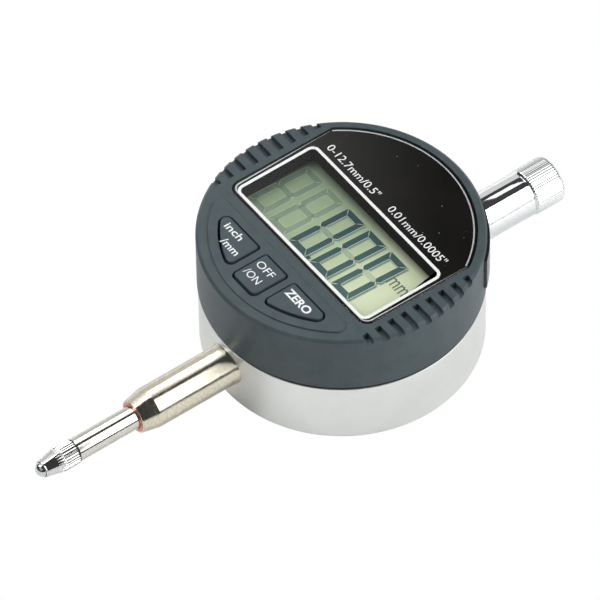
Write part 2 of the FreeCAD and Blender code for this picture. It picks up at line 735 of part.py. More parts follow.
PIECES = {
    "rear_housing": rear_housing,
    "back_cover": back_cover,
    "back_cover_screws": back_cover_screws,
    "case_screws": case_screws,
    "seal_ring": seal_ring,
    "front_bezel": front_bezel,
    "window_lens": window_lens,
    "window_mask": window_mask,
    "lcd_panel": lcd_panel,
    "lcd_frame": lcd_frame,
    "zebra_strip": zebra_strip,
    "main_board": main_board,
    "controller_chip": controller_chip,
    "tact_switches": tact_switches,
    "board_screws": board_screws,
    "board_connector": board_connector,
    "stator_board": stator_board,
    "stator_screws": stator_screws,
    "units_button": lambda: key("units_button"),
    "power_button": lambda: key("power_button"),
    "zero_button": lambda: key("zero_button"),
    "stem": stem,
    "lower_bush": lower_bush,
    "upper_bush": upper_bush,
    "dust_cap": dust_cap,
    "spindle": spindle,
    "contact_point": contact_point,
    "ball_tip": ball_tip,
    "stop_washer": stop_washer,
    "scale_carrier": scale_carrier,
    "carrier_screw": carrier_screw,
    "scale_strip": scale_strip,
    "guide_pin": guide_pin,
    "guide_rail": guide_rail,
    "rail_screws": rail_screws,
    "return_spring": return_spring,
    "battery_door": battery_door,
    "battery_cell": battery_cell,
    "battery_contact_plus": battery_contact_plus,
    "battery_contact_minus": battery_contact_minus,
}


def main():
    os.makedirs("parts", exist_ok=True)
    for name, build in PIECES.items():
        made = build()
        solids = [s for piece in (made if isinstance(made, list) else [made]) for s in piece.Solids]
        shape = solids[0] if len(solids) == 1 else Part.makeCompound(solids)
        shape.exportStep(f"parts/{name}.step")
        print(name, len(solids), round(shape.Volume, 2), shape.isValid())


main()
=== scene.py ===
"""A digital dial indicator lying on its flat back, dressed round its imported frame.

Each sub-assembly is a class that holds its sizes in millimetres, builds its meshes in place
and dresses them. Sizes that the frame already has are read from it. Object coordinates are
metres, so every pattern's pitch is worked out from a real size.
"""

import logging
import math
from dataclasses import dataclass, field
from enum import Enum
from functools import partial
from typing import Callable, Iterable, Sequence

import bmesh
import bpy
from mathutils import Matrix, Vector


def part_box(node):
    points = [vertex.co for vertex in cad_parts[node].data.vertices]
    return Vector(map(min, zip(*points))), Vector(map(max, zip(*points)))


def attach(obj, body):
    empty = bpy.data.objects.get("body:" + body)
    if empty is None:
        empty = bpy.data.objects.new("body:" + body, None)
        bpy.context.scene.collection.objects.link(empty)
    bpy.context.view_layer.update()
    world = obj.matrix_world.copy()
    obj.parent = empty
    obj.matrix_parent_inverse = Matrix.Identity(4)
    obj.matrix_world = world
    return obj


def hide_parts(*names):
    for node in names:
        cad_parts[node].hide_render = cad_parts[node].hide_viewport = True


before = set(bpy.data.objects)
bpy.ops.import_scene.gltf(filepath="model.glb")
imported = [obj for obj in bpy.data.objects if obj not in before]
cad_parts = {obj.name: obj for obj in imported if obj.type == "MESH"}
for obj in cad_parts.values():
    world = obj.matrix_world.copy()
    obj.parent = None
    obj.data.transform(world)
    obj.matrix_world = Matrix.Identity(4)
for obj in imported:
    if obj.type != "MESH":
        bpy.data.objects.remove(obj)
LOG = logging.getLogger("indicator")

MM = 0.001
CASE = "case"
PLUNGER = "plunger"
# Name of the mesh attribute that holds painted shade and shadow on the display glass.
PAINTED_SHADE = "painted_shade"
INK_FILM = 0.03
CAPITAL_SHARE = 0.729
FACE_SHARP_DEG = 16.0

Point2 = tuple[float, float]
Point3 = tuple[float, float, float]
ArcSpec = tuple[float, float, float, float, float]
Outline = list[Point2]
Shape = Callable[[float], Outline]
Tree = bpy.types.NodeTree
Node = bpy.types.Node
Socket = bpy.types.NodeSocket
Material = bpy.types.Material
Piece = bpy.types.Object
Shell = bmesh.types.BMesh
Ring = list[bmesh.types.BMVert]


class Spin(Enum):
    """The line that a turned piece is spun round."""

    UPRIGHT = "upright"
    SPINDLE = "spindle"


class Key(Enum):
    """The three keys, by the nodes that they stand for."""

    UNITS = "units_button"
    POWER = "power_button"
    ZERO = "zero_button"


# ---------------------------------------------------------------- frame sizes


def low(node: str) -> Vector:
    """The node's lowest corner in millimetres."""
    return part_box(node)[0] / MM


def high(node: str) -> Vector:
    """The node's highest corner in millimetres."""
    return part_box(node)[1] / MM


AXIS_Z = (low("spindle").z + high("spindle").z) / 2
BEZEL_R = high("front_bezel").x
BEZEL_Z0 = low("front_bezel").z
PAD_Z = high("front_bezel").z
LENS_Z0 = low("window_lens").z
LENS_Z1 = high("window_lens").z
MASK_Z1 = high("window_mask").z
LCD_Z1 = high("lcd_panel").z


# ---------------------------------------------------------------- nodes and materials


def add_node(
    tree: Tree,
    kind: str,
    settings: dict[str, object] | None = None,
    inputs: dict[object, object] | None = None,
) -> Node:
    """Adds one node to a tree.

    Args:
        tree: The shader or geometry tree.
        kind: The node's type name.
        settings: Properties to set on the node.
        inputs: Input name or index to a value, or to the socket that feeds it.

    Returns:
        The new node.
    """
    node = tree.nodes.new(kind)
    for name, value in (settings or {}).items():
        setattr(node, name, value)
    for key, value in (inputs or {}).items():
        if isinstance(value, Socket):
            tree.links.new(value, node.inputs[key])
        else:
            node.inputs[key].default_value = value
    return node


def math_node(tree: Tree, operation: str, *values: object) -> Socket:
    """One sum in a tree: the operation and its terms."""
    node = add_node(tree, "ShaderNodeMath", {"operation": operation}, dict(enumerate(values)))
    return node.outputs["Value"]


def combine(tree: Tree, x: object = 0.0, y: object = 0.0, z: object = 0.0) -> Socket:
    """Three values or sockets as one vector."""
    node = add_node(tree, "ShaderNodeCombineXYZ", inputs={"X": x, "Y": y, "Z": z})
    return node.outputs["Vector"]


def split(tree: Tree, vector: Socket) -> tuple[Socket, Socket, Socket]:
    """A vector's X, Y and Z."""
    outputs = add_node(tree, "ShaderNodeSeparateXYZ", inputs={"Vector": vector}).outputs
    return outputs["X"], outputs["Y"], outputs["Z"]


def linear(hex_colour: str, alpha: float = 1.0) -> tuple[float, float, float, float]:
    """Turns an sRGB hex colour to linear.

    Args:
        hex_colour: Six hex digits, with or without a leading hash.
        alpha: The fourth value.

    Returns:
        Linear red, green, blue and alpha.
    """
    text = hex_colour.lstrip("#")
    parts = [int(text[i : i + 2], 16) / 255 for i in (0, 2, 4)]
    made = [p / 12.92 if p <= 0.04045 else ((p + 0.055) / 1.055) ** 2.4 for p in parts]
    return (made[0], made[1], made[2], alpha)


def per_mm(pitch_mm: float) -> float:
    """The texture scale that gives one cell for each pitch, on coordinates in metres."""
    return 1.0 / (pitch_mm * MM)


def new_material(name: str) -> tuple[Material, Tree]:
    """Makes an empty node material and gives it with its tree."""
    material = bpy.data.materials.new(name)
    material.use_nodes = True
    material.node_tree.nodes.clear()
    return material, material.node_tree


def surface(tree: Tree, shader: Socket) -> None:
    """Ends a material's tree in this shader."""
    add_node(tree, "ShaderNodeOutputMaterial", inputs={"Surface": shader})


def principled(tree: Tree, inputs: dict[str, object]) -> Socket:
    """The standard shader with these inputs."""
    return add_node(tree, "ShaderNodeBsdfPrincipled", inputs=inputs).outputs["BSDF"]


def glow(tree: Tree, strength: object) -> Socket:
    """A white emission of this strength."""
    inputs = {"Color": linear("#ffffff"), "Strength": strength}
    return add_node(tree, "ShaderNodeEmission", inputs=inputs).outputs["Emission"]


def mix_shaders(tree: Tree, share: Socket, first: Socket, second: Socket) -> Socket:
    """The first shader, replaced by the second by its share."""
    node = add_node(tree, "ShaderNodeMixShader", inputs={0: share, 1: first, 2: second})
    return node.outputs["Shader"]


def mix_colours(tree: Tree, share: Socket, first: Socket, second: object) -> Socket:
    """The first colour, replaced by the second by its share."""
    inputs = {"Factor": share, "A": first, "B": second}
    return add_node(tree, "ShaderNodeMix", {"data_type": "RGBA"}, inputs).outputs["Result"]


def place_mm(tree: Tree, stretch: Point3 = (1.0, 1.0, 1.0)) -> Socket:
    """Object coordinates, stretched along the axes."""
    where = add_node(tree, "ShaderNodeTexCoord").outputs["Object"]
    mapped = add_node(tree, "ShaderNodeMapping", inputs={"Vector": where, "Scale": stretch})
    return mapped.outputs["Vector"]


def noise(tree: Tree, where: Socket, cell_mm: float, detail: float, rough: float = 0.5) -> Socket:
    """Noise from 0 to 1 whose largest cells are this many millimetres."""
    inputs = {"Vector": where, "Scale": per_mm(cell_mm), "Detail": detail, "Roughness": rough}
    return add_node(tree, "ShaderNodeTexNoise", inputs=inputs).outputs["Fac"]


def remap(tree: Tree, value: Socket, source: Point2, target: Point2, smooth: bool = False) -> Socket:
    """Moves a value from one range to another, with soft ends where it is smooth.

    Args:
        tree: The shader tree.
        value: The value.
        source: The range that it has.
        target: The range that it gets.
        smooth: True for soft ends.

    Returns:
        The moved value, held to the target's ends.
    """
    settings = {"interpolation_type": "SMOOTHSTEP" if smooth else "LINEAR"}
    inputs = dict(zip(("From Min", "From Max", "To Min", "To Max"), source + target))
    node = add_node(tree, "ShaderNodeMapRange", settings, {"Value": value} | inputs)
    return node.outputs["Result"]


def raised(tree: Tree, height: Socket, height_mm: float) -> Socket:
    """A bumped normal whose highest points stand this many millimetres up."""
    inputs = {"Height": height, "Strength": 1.0, "Distance": height_mm * MM}
    return add_node(tree, "ShaderNodeBump", inputs=inputs).outputs["Normal"]


def ramp(tree: Tree, source: Socket, stops: Sequence[tuple[float, str]]) -> Socket:
    """Colours a value through a ramp.

    Args:
        tree: The shader tree.
        source: The value, from 0 to 1.
        stops: Place and sRGB hex colour of each stop.

    Returns:
        The ramp's colour socket.
    """
    node = add_node(tree, "ShaderNodeValToRGB", inputs={"Fac": source})
    elements = node.color_ramp.elements
    while len(elements) < len(stops):
        elements.new(0.5)
    for element, (place, colour) in zip(elements, stops):
        element.position = place
        element.color = linear(colour)
    return node.outputs["Color"]


NOISE_BODY = (0.3, 0.7)


@dataclass(frozen=True)
class MouldedPlastic:
    """Injection-moulded ABS: a fine spark-eroded grain that breaks up a soft sheen."""

    name: str
    colour: str
    shade: str
    roughness: float = 0.42
    grain_mm: float = 0.16
    grain_height_mm: float = 0.012
    ior: float = 1.53
    mottle_mm: float = 3.5

    def make(self) -> Material:
        """Builds the material: mottled colour, grain in bump and roughness."""
        material, tree = new_material(self.name)
        where = place_mm(tree)
        mottle = noise(tree, where, self.mottle_mm, 3.0, 0.6)
        grain = noise(tree, where, self.grain_mm, 2.0)
        dull = (self.roughness - 0.05, self.roughness + 0.06)
        inputs = {
            "Base Color": ramp(tree, mottle, ((0.3, self.shade), (0.7, self.colour))),
            "Roughness": remap(tree, grain, NOISE_BODY, dull),
            "Normal": raised(tree, grain, self.grain_height_mm),
            "IOR": self.ior,
        }
        surface(tree, principled(tree, inputs))
        return material


@dataclass(frozen=True)
class TurnedMetal:
    """Metal worked on a lathe or polished: faint marks along one axis under the shine."""

    name: str
    colour: str
    shade: str
    roughness: float = 0.15
    mark_mm: float = 0.12
    mark_height_mm: float = 0.001
    stretch: Point3 = (0.04, 1.0, 0.04)
    spread: float = 0.05
    blotch_mm: float = 2.0
    pits: float = 0.0
    pit_mm: float = 0.22
    metallic: float = 1.0

    def make(self) -> Material:
        """Builds the material: blotched colour, machining marks, and pits where it is plated."""
        material, tree = new_material(self.name)
        where = place_mm(tree)
        blotch = noise(tree, where, self.blotch_mm, 4.0, 0.65)
        marks = noise(tree, place_mm(tree, self.stretch), self.mark_mm, 3.0)
        height = marks
        if self.pits:
            pit = noise(tree, where, self.pit_mm, 2.0, 0.7)
            height = math_node(tree, "MULTIPLY_ADD", pit, self.pits, marks)
        dull = (max(self.roughness - self.spread, 0.02), self.roughness + self.spread)
        inputs = {
            "Base Color": ramp(tree, blotch, ((0.3, self.shade), (0.65, self.colour))),
            "Metallic": self.metallic,
            "Roughness": remap(tree, marks, NOISE_BODY, dull),
            "Normal": raised(tree, height, self.mark_height_mm),
        }
        surface(tree, principled(tree, inputs))
        return material


@dataclass(frozen=True)
class PrintedInk:
    """Screen-printed ink: a thin even film, slightly uneven at its surface."""

    name: str
    colour: str
    shade: str
    roughness: float = 0.35
    metallic: float = 0.0
    film_mm: float = 0.5

    def make(self) -> Material:
        """Builds the material: a faintly uneven film."""
        material, tree = new_material(self.name)
        film = noise(tree, place_mm(tree), self.film_mm, 3.0)
        colour = ramp(tree, film, ((0.3, self.shade), (0.6, self.colour)))
        inputs = {"Base Color": colour, "Roughness": self.roughness, "Metallic": self.metallic}
        surface(tree, principled(tree, inputs))
        return material


@dataclass(frozen=True)
class GlossPanel:
    """Back-printed acrylic: deep gloss black with a few settled dust specks and faint haze."""

    name: str = "gloss_black_window_print"
    colour: str = "#0b0a09"
    shade: str = "#14120f"
    dust: str = "#7d7f7c"
    dust_mm: float = 1.3
    dust_share: float = 0.115
    patch_mm: float = 5.5
    haze_mm: float = 9.0
    ior: float = 1.49

    def make(self) -> Material:
        """Builds the material: haze, and specks where a coarse noise lets them through."""
        material, tree = new_material(self.name)
        where = place_mm(tree)
        haze = noise(tree, where, self.haze_mm, 3.0)
        dots = add_node(tree, "ShaderNodeTexVoronoi", inputs={"Vector": where, "Scale": per_mm(self.dust_mm)})
        reach = remap(tree, noise(tree, where, self.patch_mm, 1.0), (0.5, 0.72), (0.0, self.dust_share))
        speck = math_node(tree, "LESS_THAN", dots.outputs["Distance"], reach)
        base = ramp(tree, haze, ((0.3, self.colour), (0.7, self.shade)))
        inputs = {
            "Base Color": mix_colours(tree, speck, base, linear(self.dust)),
            "Roughness": remap(tree, haze, (0.0, 1.0), (0.05, 0.1)),
            "IOR": self.ior,
        }
        surface(tree, principled(tree, inputs))
        return material


@dataclass(frozen=True)
class ClearWindow:
    """Clear moulded acrylic, thin enough that it only adds a surface reflection."""

    name: str = "clear_acrylic"
    tint: str = "#fbfdfb"
    ior: float = 1.4
    smear_mm: float = 6.0

    def make(self) -> Material:
        """Builds the material: see-through, with a mirror share that grows towards grazing.

        Returns:
            The material. Only its outward faces mirror, so light isn't trapped inside.
        """
        material, tree = new_material(self.name)
        rough = remap(tree, noise(tree, place_mm(tree), self.smear_mm, 2.0), (0.0, 1.0), (0.03, 0.04))
        through = add_node(tree, "ShaderNodeBsdfTransparent", inputs={"Color": linear(self.tint)})
        mirror = add_node(tree, "ShaderNodeBsdfGlossy", inputs={"Roughness": rough})
        inward = add_node(tree, "ShaderNodeNewGeometry").outputs["Backfacing"]
        grazing = add_node(tree, "ShaderNodeFresnel", inputs={"IOR": self.ior}).outputs["Fac"]
        share = math_node(tree, "MULTIPLY", grazing, math_node(tree, "SUBTRACT", 1.0, inward))
        surface(tree, mix_shaders(tree, share, through.outputs["BSDF"], mirror.outputs["BSDF"]))
        return material


@dataclass(frozen=True)
class CrystalGlass:
    """Reflective liquid-crystal glass: grey-green, paler to the right, or a segment on it.

    The soft shadow that a lit segment throws on the reflector is painted, and held as a mesh
    attribute from 0 at its rim to 1 inside; the same attribute paints the shade that the
    well's walls cast along the glass's left and far edges.
    """

    name: str
    left: str
    middle: str
    right: str
    span_mm: float = 17.0
    shadow: str = ""
    roughness: float = 0.4
    lean: float = -0.35
    mottle_mm: float = 2.2
    mottle_share: float = 0.12
    ior: float = 1.5

    def make(self) -> Material:
        """Builds the material: a sideways gradient with the reflector's fine mottle."""
        material, tree = new_material(self.name)
        where = place_mm(tree)
        x, y, _ = split(tree, where)
        slant = math_node(tree, "MULTIPLY_ADD", y, self.lean, x)
        across = remap(tree, slant, (-self.span_mm * MM, self.span_mm * MM), (0.0, 1.0))
        mottle = noise(tree, where, self.mottle_mm, 4.0, 0.7)
        tone = math_node(tree, "MULTIPLY_ADD", mottle, self.mottle_share, across)
        colour = ramp(tree, tone, ((0.02, self.left), (0.5, self.middle), (1.0, self.right)))
        # Painted shade and shadow: the mesh attribute blends the colour towards the shadow colour.
        if self.shadow:
            painted_shade = add_node(tree, "ShaderNodeAttribute", {"attribute_name": PAINTED_SHADE})
            colour = mix_colours(tree, painted_shade.outputs["Fac"], colour, linear(self.shadow))
        inputs = {"Base Color": colour, "Roughness": self.roughness, "IOR": self.ior}
        surface(tree, principled(tree, inputs))
        return material


BEZEL_ABS = MouldedPlastic("blue_grey_abs_bezel", "#485559", "#404c50", 0.4, 0.22, 0.035, 1.4)
KEY_ABS = MouldedPlastic("blue_grey_abs_keys", "#455258", "#3e4a50", 0.38, 0.22, 0.03, 1.4)
BLACK_ABS = MouldedPlastic("black_abs_door", "#121314", "#0c0d0e", 0.2, 0.3, 0.004)
BLACK_INNER = MouldedPlastic("black_moulded_inner", "#0d0e0d", "#090a09", 0.85, 0.3, 0.001, 1.3)
RUBBER = MouldedPlastic("black_seal_rubber", "#101010", "#0b0b0b", 0.7, 0.2, 0.01)
GREEN_BOARD = MouldedPlastic("green_solder_mask", "#1c6b39", "#175a30", 0.35, 0.6, 0.004)
SATIN_ALLOY = TurnedMetal(
    "satin_cast_alloy", "#eff0ed", "#ebece9", 0.38, 0.1, 0.0012, (1.0, 1.0, 0.05), 0.05, 4.0, 0.5,
    metallic=0.8,
)
NICKEL = TurnedMetal(
    "nickel_plated_brass", "#ece7d6", "#bfb79f", 0.13, 0.16, 0.011, (0.3, 1.0, 0.3), 0.07, 0.3, 1.4
)
CHROME = TurnedMetal("polished_chrome", "#f4f5f5", "#eceeee", 0.05, 0.5, 0.003, (1.0, 0.5, 1.0), 0.02)
GROUND_STEEL = TurnedMetal("ground_spindle_steel", "#dcdad2", "#cfcdc4", 0.12, 0.08, 0.0006)
CONTACT_STEEL = TurnedMetal("plated_contact_steel", "#dddddb", "#cfd0ce", 0.08, 0.1, 0.0005)
# A dark core's colour: painted shade at the bottom of the knurl grooves.
GROOVE_SHADE_STEEL = TurnedMetal("groove_shade_steel", "#3d3d3b", "#31312f", 0.45, 0.1, 0.0005)
BALL_STEEL = TurnedMetal("polished_ball_steel", "#cfd2d3", "#c4c7c8", 0.04, 0.3, 0.0002)
COPPER = TurnedMetal("copper_bush", "#dd9a83", "#c17a64", 0.24, 0.1, 0.001)
BRASS = TurnedMetal("turned_brass", "#d9bd78", "#c7a862", 0.22, 0.12, 0.001)
SCREW_STEEL = TurnedMetal("zinc_plated_screw", "#c9cbcb", "#b6b9ba", 0.25, 0.15, 0.001)
CELL_STEEL = TurnedMetal("cell_can_steel", "#d6d6d2", "#c8c8c4", 0.2, 0.2, 0.0008)
WHITE_INK = PrintedInk("white_legend_ink", "#f4f6f6", "#e6e9ea")
SILVER_INK = PrintedInk("silver_line_ink", "#cfd2d2", "#b9bdbd", 0.3, 0.35)
FRAME_INK = PrintedInk("pale_frame_ink", "#f8faf8", "#eceeec", 0.25, 0.0)
WINDOW_PRINT = GlossPanel()
WINDOW_CLEAR = ClearWindow()
# The reflector's shadow colour is painted shade along the glass's left and far edges; the segment shadow's
# colour is the lit segments' painted shadow.
LCD_FACE = CrystalGlass("lcd_reflector", "#84957a", "#b2bf9f", "#f0f2d4", shadow="#20241d")
LCD_SHADOW = CrystalGlass("lcd_segment_shadow", "#84957a", "#b2bf9f", "#f0f2d4", shadow="#789080")
LCD_EDGE = CrystalGlass("lcd_segment_edge", "#a3b299", "#c9d5bf", "#f2f5e0", roughness=0.3)
LCD_LIT = CrystalGlass("lcd_segment_lit", "#0f2935", "#1f4650", "#466c6c", roughness=0.3)
LCD_IDLE = CrystalGlass("lcd_segment_idle", "#6a7f6e", "#93a58c", "#d9dfc2", roughness=0.35)
LCD_FLAG = CrystalGlass("lcd_unit_flag", "#525e54", "#59645a", "#69756a", roughness=0.35)

Finish = MouldedPlastic | TurnedMetal | PrintedInk | GlossPanel | ClearWindow | CrystalGlass


class FinishShelf:
    """Makes each finish once and hands out its material."""

    def __init__(self) -> None:
        self._made: dict[str, Material] = {}

    def get(self, finish: Finish) -> Material:
        """The finish's material, made on first use."""
        if finish.name not in self._made:
            self._made[finish.name] = finish.make()
        return self._made[finish.name]

    def put(self, piece: Piece, finish: Finish) -> None:
        """Gives a piece or a CAD node this finish in every material slot."""
        material = self.get(finish)
        piece.data.materials.clear()
        piece.data.materials.append(material)


SHELF = FinishShelf()


def dress(piece: Piece, finish: Finish, body: str, slot: str, *nodes: str) -> None:
    """Finishes a built piece and ties it to the frame.

    Args:
        piece: The piece, in place.
        finish: Its finish.
        body: The CAD body that it rides on.
        slot: The record's material slot; not used.
        nodes: CAD nodes that it stands for.
    """
    SHELF.put(piece, finish)
    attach(piece, body)
    if nodes:
        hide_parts(*nodes)
    LOG.info("%s: %d faces on %s", piece.name, len(piece.data.polygons), body)


# ---------------------------------------------------------------- mesh building


def new_piece(name: str, shell: Shell, sharp_deg: float = 35.0) -> Piece:
    """Closes a mesh built in millimetres into an object in metres.

    Args:
        name: The piece's name.
        shell: The mesh, which is freed.
        sharp_deg: Edges that turn more than this stay sharp.

    Returns:
        The object, linked to the scene.
    """
    bmesh.ops.remove_doubles(shell, verts=shell.verts, dist=1e-5)
    bmesh.ops.recalc_face_normals(shell, faces=shell.faces)
    limit = math.radians(sharp_deg)
    for edge in shell.edges:
        edge.smooth = len(edge.link_faces) == 2 and edge.calc_face_angle(0.0) < limit
    for face in shell.faces:
        face.smooth = True
    bmesh.ops.scale(shell, vec=(MM, MM, MM), verts=shell.verts)
    mesh = bpy.data.meshes.new(name)
    shell.to_mesh(mesh)
    shell.free()
    piece = bpy.data.objects.new(name, mesh)
    bpy.context.scene.collection.objects.link(piece)
    return piece


def softened(points: Sequence[tuple[float, float, float]], steps: int = 5) -> Outline:
    """Rounds the corners of an open profile.

    Args:
        points: Radius, place along the axis, and corner radius of each point.
        steps: Points on each rounded corner.

    Returns:
        The profile's points.
    """
    made: Outline = []
    for i, (r, h, corner) in enumerate(points):
        here = Vector((r, h))
        if not corner or i in (0, len(points) - 1):
            made.append((r, h))
            continue
        before = Vector(points[i - 1][:2]) - here
        after = Vector(points[i + 1][:2]) - here
        turn = before.angle(after)
        reach = min(corner / math.tan(turn / 2), before.length * 0.49, after.length * 0.49)
        start = here + before.normalized() * reach
        end = here + after.normalized() * reach
        for k in range(steps):
            t = k / (steps - 1)
            p = start * (1 - t) ** 2 + here * (2 * t * (1 - t)) + end * t * t
            made.append((p.x, p.y))
    return made


def turned(
    name: str,
    profile: Sequence[tuple[float, float, float]],
    spin: Spin,
    segments: int = 160,
    looped: bool = False,
) -> Piece:
    """Spins a profile into a closed solid of revolution.

    Args:
        name: The piece's name.
        profile: Radius, place along the axis, and corner radius. It starts and ends on the
            axis, or is a loop.
        spin: The axis.
        segments: Faces round the axis.
        looped: True where the profile closes on itself clear of the axis.

    Returns:
        The piece.
    """
    points = softened(profile)
    shell = bmesh.new()
    rings = []
    for radius, along in points:
        count = 1 if radius < 1e-6 else segments
        ring = []
        for i in range(count):
            turn = 2 * math.pi * i / segments
            a, b = radius * math.cos(turn), radius * math.sin(turn)
            place = (a, b, along) if spin is Spin.UPRIGHT else (a, along, AXIS_Z + b)
            ring.append(shell.verts.new(place))
        rings.append(ring)
    join_stack(shell, rings, looped)
    return new_piece(name, shell)


def join_rings(shell: Shell, first: Ring, second: Ring) -> None:
    """Makes the faces between two rings of corners, or a ring and a pole."""
    count = max(len(first), len(second))
    if count == 1:
        return
    for i in range(count):
        j = (i + 1) % count
        corners = [first[i % len(first)], first[j % len(first)]]
        corners += [second[j % len(second)], second[i % len(second)]]
        shell.faces.new(list(dict.fromkeys(corners)))


def join_stack(shell: Shell, rings: list[Ring], looped: bool = False) -> None:
    """Joins each ring to the next, and the last to the first where it is looped."""
    for first, second in zip(rings, rings[1:] + (rings[:1] if looped else [])):
        join_rings(shell, first, second)


def arc_outline(arcs: Sequence[ArcSpec], shrink: float = 0.0, steps: int = 8) -> Outline:
    """Points round a convex outline of arcs joined by straight lines.

    Args:
        arcs: Centre x, centre y, radius, start and end angle in degrees, anticlockwise.
        shrink: How far the outline is drawn in all round.
        steps: Points on a small arc; large ones get more.

    Returns:
        The points, anticlockwise.
    """
    made = []
    for x, y, radius, start, end in arcs:
        count = max(steps, int(abs(end - start) * radius / 20))
        inner = max(radius - shrink, 0.02)
        for k in range(count):
            turn = math.radians(start + (end - start) * k / (count - 1))
            made.append((x + inner * math.cos(turn), y + inner * math.sin(turn)))
    return made


def rounded_box_arcs(x0: float, x1: float, y0: float, y1: float, radii: Sequence[float]) -> list[ArcSpec]:
    """The four corner arcs of a box, from its lower right corner anticlockwise."""
    a, b, c, d = radii
    return [
        (x1 - a, y0 + a, a, -90.0, 0.0),
        (x1 - b, y1 - b, b, 0.0, 90.0),
        (x0 + c, y1 - c, c, 90.0, 180.0),
        (x0 + d, y0 + d, d, 180.0, 270.0),
    ]


def circle_outline(radius: float, count: int = 240) -> Outline:
    """Points round a circle about the origin, anticlockwise."""
    turns = (2 * math.pi * i / count for i in range(count))
    return [(radius * math.cos(t), radius * math.sin(t)) for t in turns]


def ring_at(shell: Shell, outline: Iterable[Point2], z: float) -> Ring:
    """Adds an outline's corners at a height."""
    return [shell.verts.new((x, y, z)) for x, y in outline]


def rings_up(shell: Shell, outline: Shape, levels: Sequence[Point2], looped: bool = False) -> list[Ring]:
    """Adds an outline at each inset and height, and joins each ring to the next.

    Args:
        shell: The mesh.
        outline: Gives the outline's points for an inset.
        levels: Inset and height of each ring.
        looped: True where the last ring meets the first.

    Returns:
        The rings.
    """
    rings = [ring_at(shell, outline(inset), z) for inset, z in levels]
    join_stack(shell, rings, looped)
    return rings


def ring_edges(shell: Shell, ring: Ring) -> list[bmesh.types.BMEdge]:
    """The edges round a ring of corners, made where they are missing."""
    pairs = zip(ring, ring[1:] + ring[:1])
    return [shell.edges.get(pair) or shell.edges.new(pair) for pair in pairs]


def encloses(ring: Ring, point: Vector) -> bool:
    """True where a point lies inside a flat ring of corners."""
    inside = False
    for a, b in zip(ring, ring[1:] + ring[:1]):
        if (a.co.y > point.y) != (b.co.y > point.y):
            cross = a.co.x + (point.y - a.co.y) / (b.co.y - a.co.y) * (b.co.x - a.co.x)
            inside ^= point.x < cross
    return inside


def fill_between(shell: Shell, outer: Ring, *holes: Ring) -> None:
    """Fills the flat face inside the outer ring and outside the holes."""
    edges = [edge for ring in (outer, *holes) for edge in ring_edges(shell, ring)]
    made = bmesh.ops.triangle_fill(shell, use_beauty=True, use_dissolve=False, edges=edges)
    faces = [item for item in made["geom"] if isinstance(item, bmesh.types.BMFace)]
    spare = [f for f in faces if any(encloses(hole, f.calc_center_median()) for hole in holes)]
    bmesh.ops.delete(shell, geom=spare, context="FACES_ONLY")


def zip_rings(shell: Shell, outer: Ring, inner: Ring) -> None:
    """Fills between two convex rings round the origin, one corner at a time by angle."""
    loops = []
    for ring in (outer, inner):
        turns = [math.atan2(v.co.y, v.co.x) for v in ring]
        first = turns.index(min(turns))
        loop = list(zip(turns, ring))
        loops.append(loop[first:] + loop[:first] + [(turns[first] + 2 * math.pi, ring[first])])
    i = j = 0
    far, near = loops
    while i < len(far) - 1 or j < len(near) - 1:
        step_far = j == len(near) - 1 or (i < len(far) - 1 and far[i + 1][0] <= near[j + 1][0])
        third = far[i + 1][1] if step_far else near[j + 1][1]
        shell.faces.new((far[i][1], third, near[j][1]))
        i, j = (i + 1, j) if step_far else (i, j + 1)


def stacked(name: str, outline: Shape, levels: Sequence[Point2], looped: bool = False) -> Piece:
    """Lofts one outline through a stack of insets and heights.

    Args:
        name: The piece's name.
        outline: Gives the outline's points for an inset.
        levels: Inset and height of each ring.
        looped: True for a hollow frame, whose last ring meets its first.

    Returns:
        The piece.
    """
    shell = bmesh.new()
    rings = rings_up(shell, outline, levels, looped)
    if not looped:
        shell.faces.new(rings[0])
        shell.faces.new(rings[-1])
    return new_piece(name, shell, FACE_SHARP_DEG)


def baked(piece: Piece) -> bpy.types.Mesh:
    """The piece's mesh as its modifiers leave it."""
    bpy.context.view_layer.update()
    return bpy.data.meshes.new_from_object(piece.evaluated_get(bpy.context.evaluated_depsgraph_get()))


def cut_away(piece: Piece, cutter: Piece) -> None:
    """Cuts one mesh out of another for good, and removes the cutter."""
    step = piece.modifiers.new("cut", "BOOLEAN")
    step.operation = "DIFFERENCE"
    step.solver = "EXACT"
    step.use_self = True
    step.object = cutter
    made = baked(piece)
    piece.modifiers.remove(step)
    piece.data = made
    bpy.data.objects.remove(cutter)


@dataclass(frozen=True)
class Legend:
    """A line of lettering: its words, ends, baseline, capital height and added weight."""

    text: str
    left: float
    right: float
    base: float
    cap: float
    bold: float = 0.0


def lettering(name: str, legend: Legend, z: float) -> Piece:
    """Sets a line of generic lettering to its width and capital height.

    Args:
        name: The piece's name.
        legend: The words and their place.
        z: The height of the surface that they are printed on.

    Returns:
        The piece, a thin film of ink.
    """
    curve = bpy.data.curves.new(name, "FONT")
    curve.body = legend.text
    curve.size = 1.0
    curve.extrude = INK_FILM / 2
    curve.resolution_u = 4
    curve.offset = legend.bold
    source = bpy.data.objects.new(name, curve)
    bpy.context.scene.collection.objects.link(source)
    mesh = baked(source)
    bpy.data.objects.remove(source)
    xs = [v.co.x for v in mesh.vertices]
    wide = (legend.right - legend.left) / (max(xs) - min(xs))
    fit = Matrix.Diagonal((wide, legend.cap / CAPITAL_SHARE, 1.0, 1.0))
    place = (legend.left - min(xs) * wide, legend.base, z + INK_FILM / 2)
    mesh.transform(Matrix.Translation(place) @ fit)
    shell = bmesh.new()
    shell.from_mesh(mesh)
    bpy.data.meshes.remove(mesh)
    return new_piece(name, shell)


# ---------------------------------------------------------------- repeated shapes


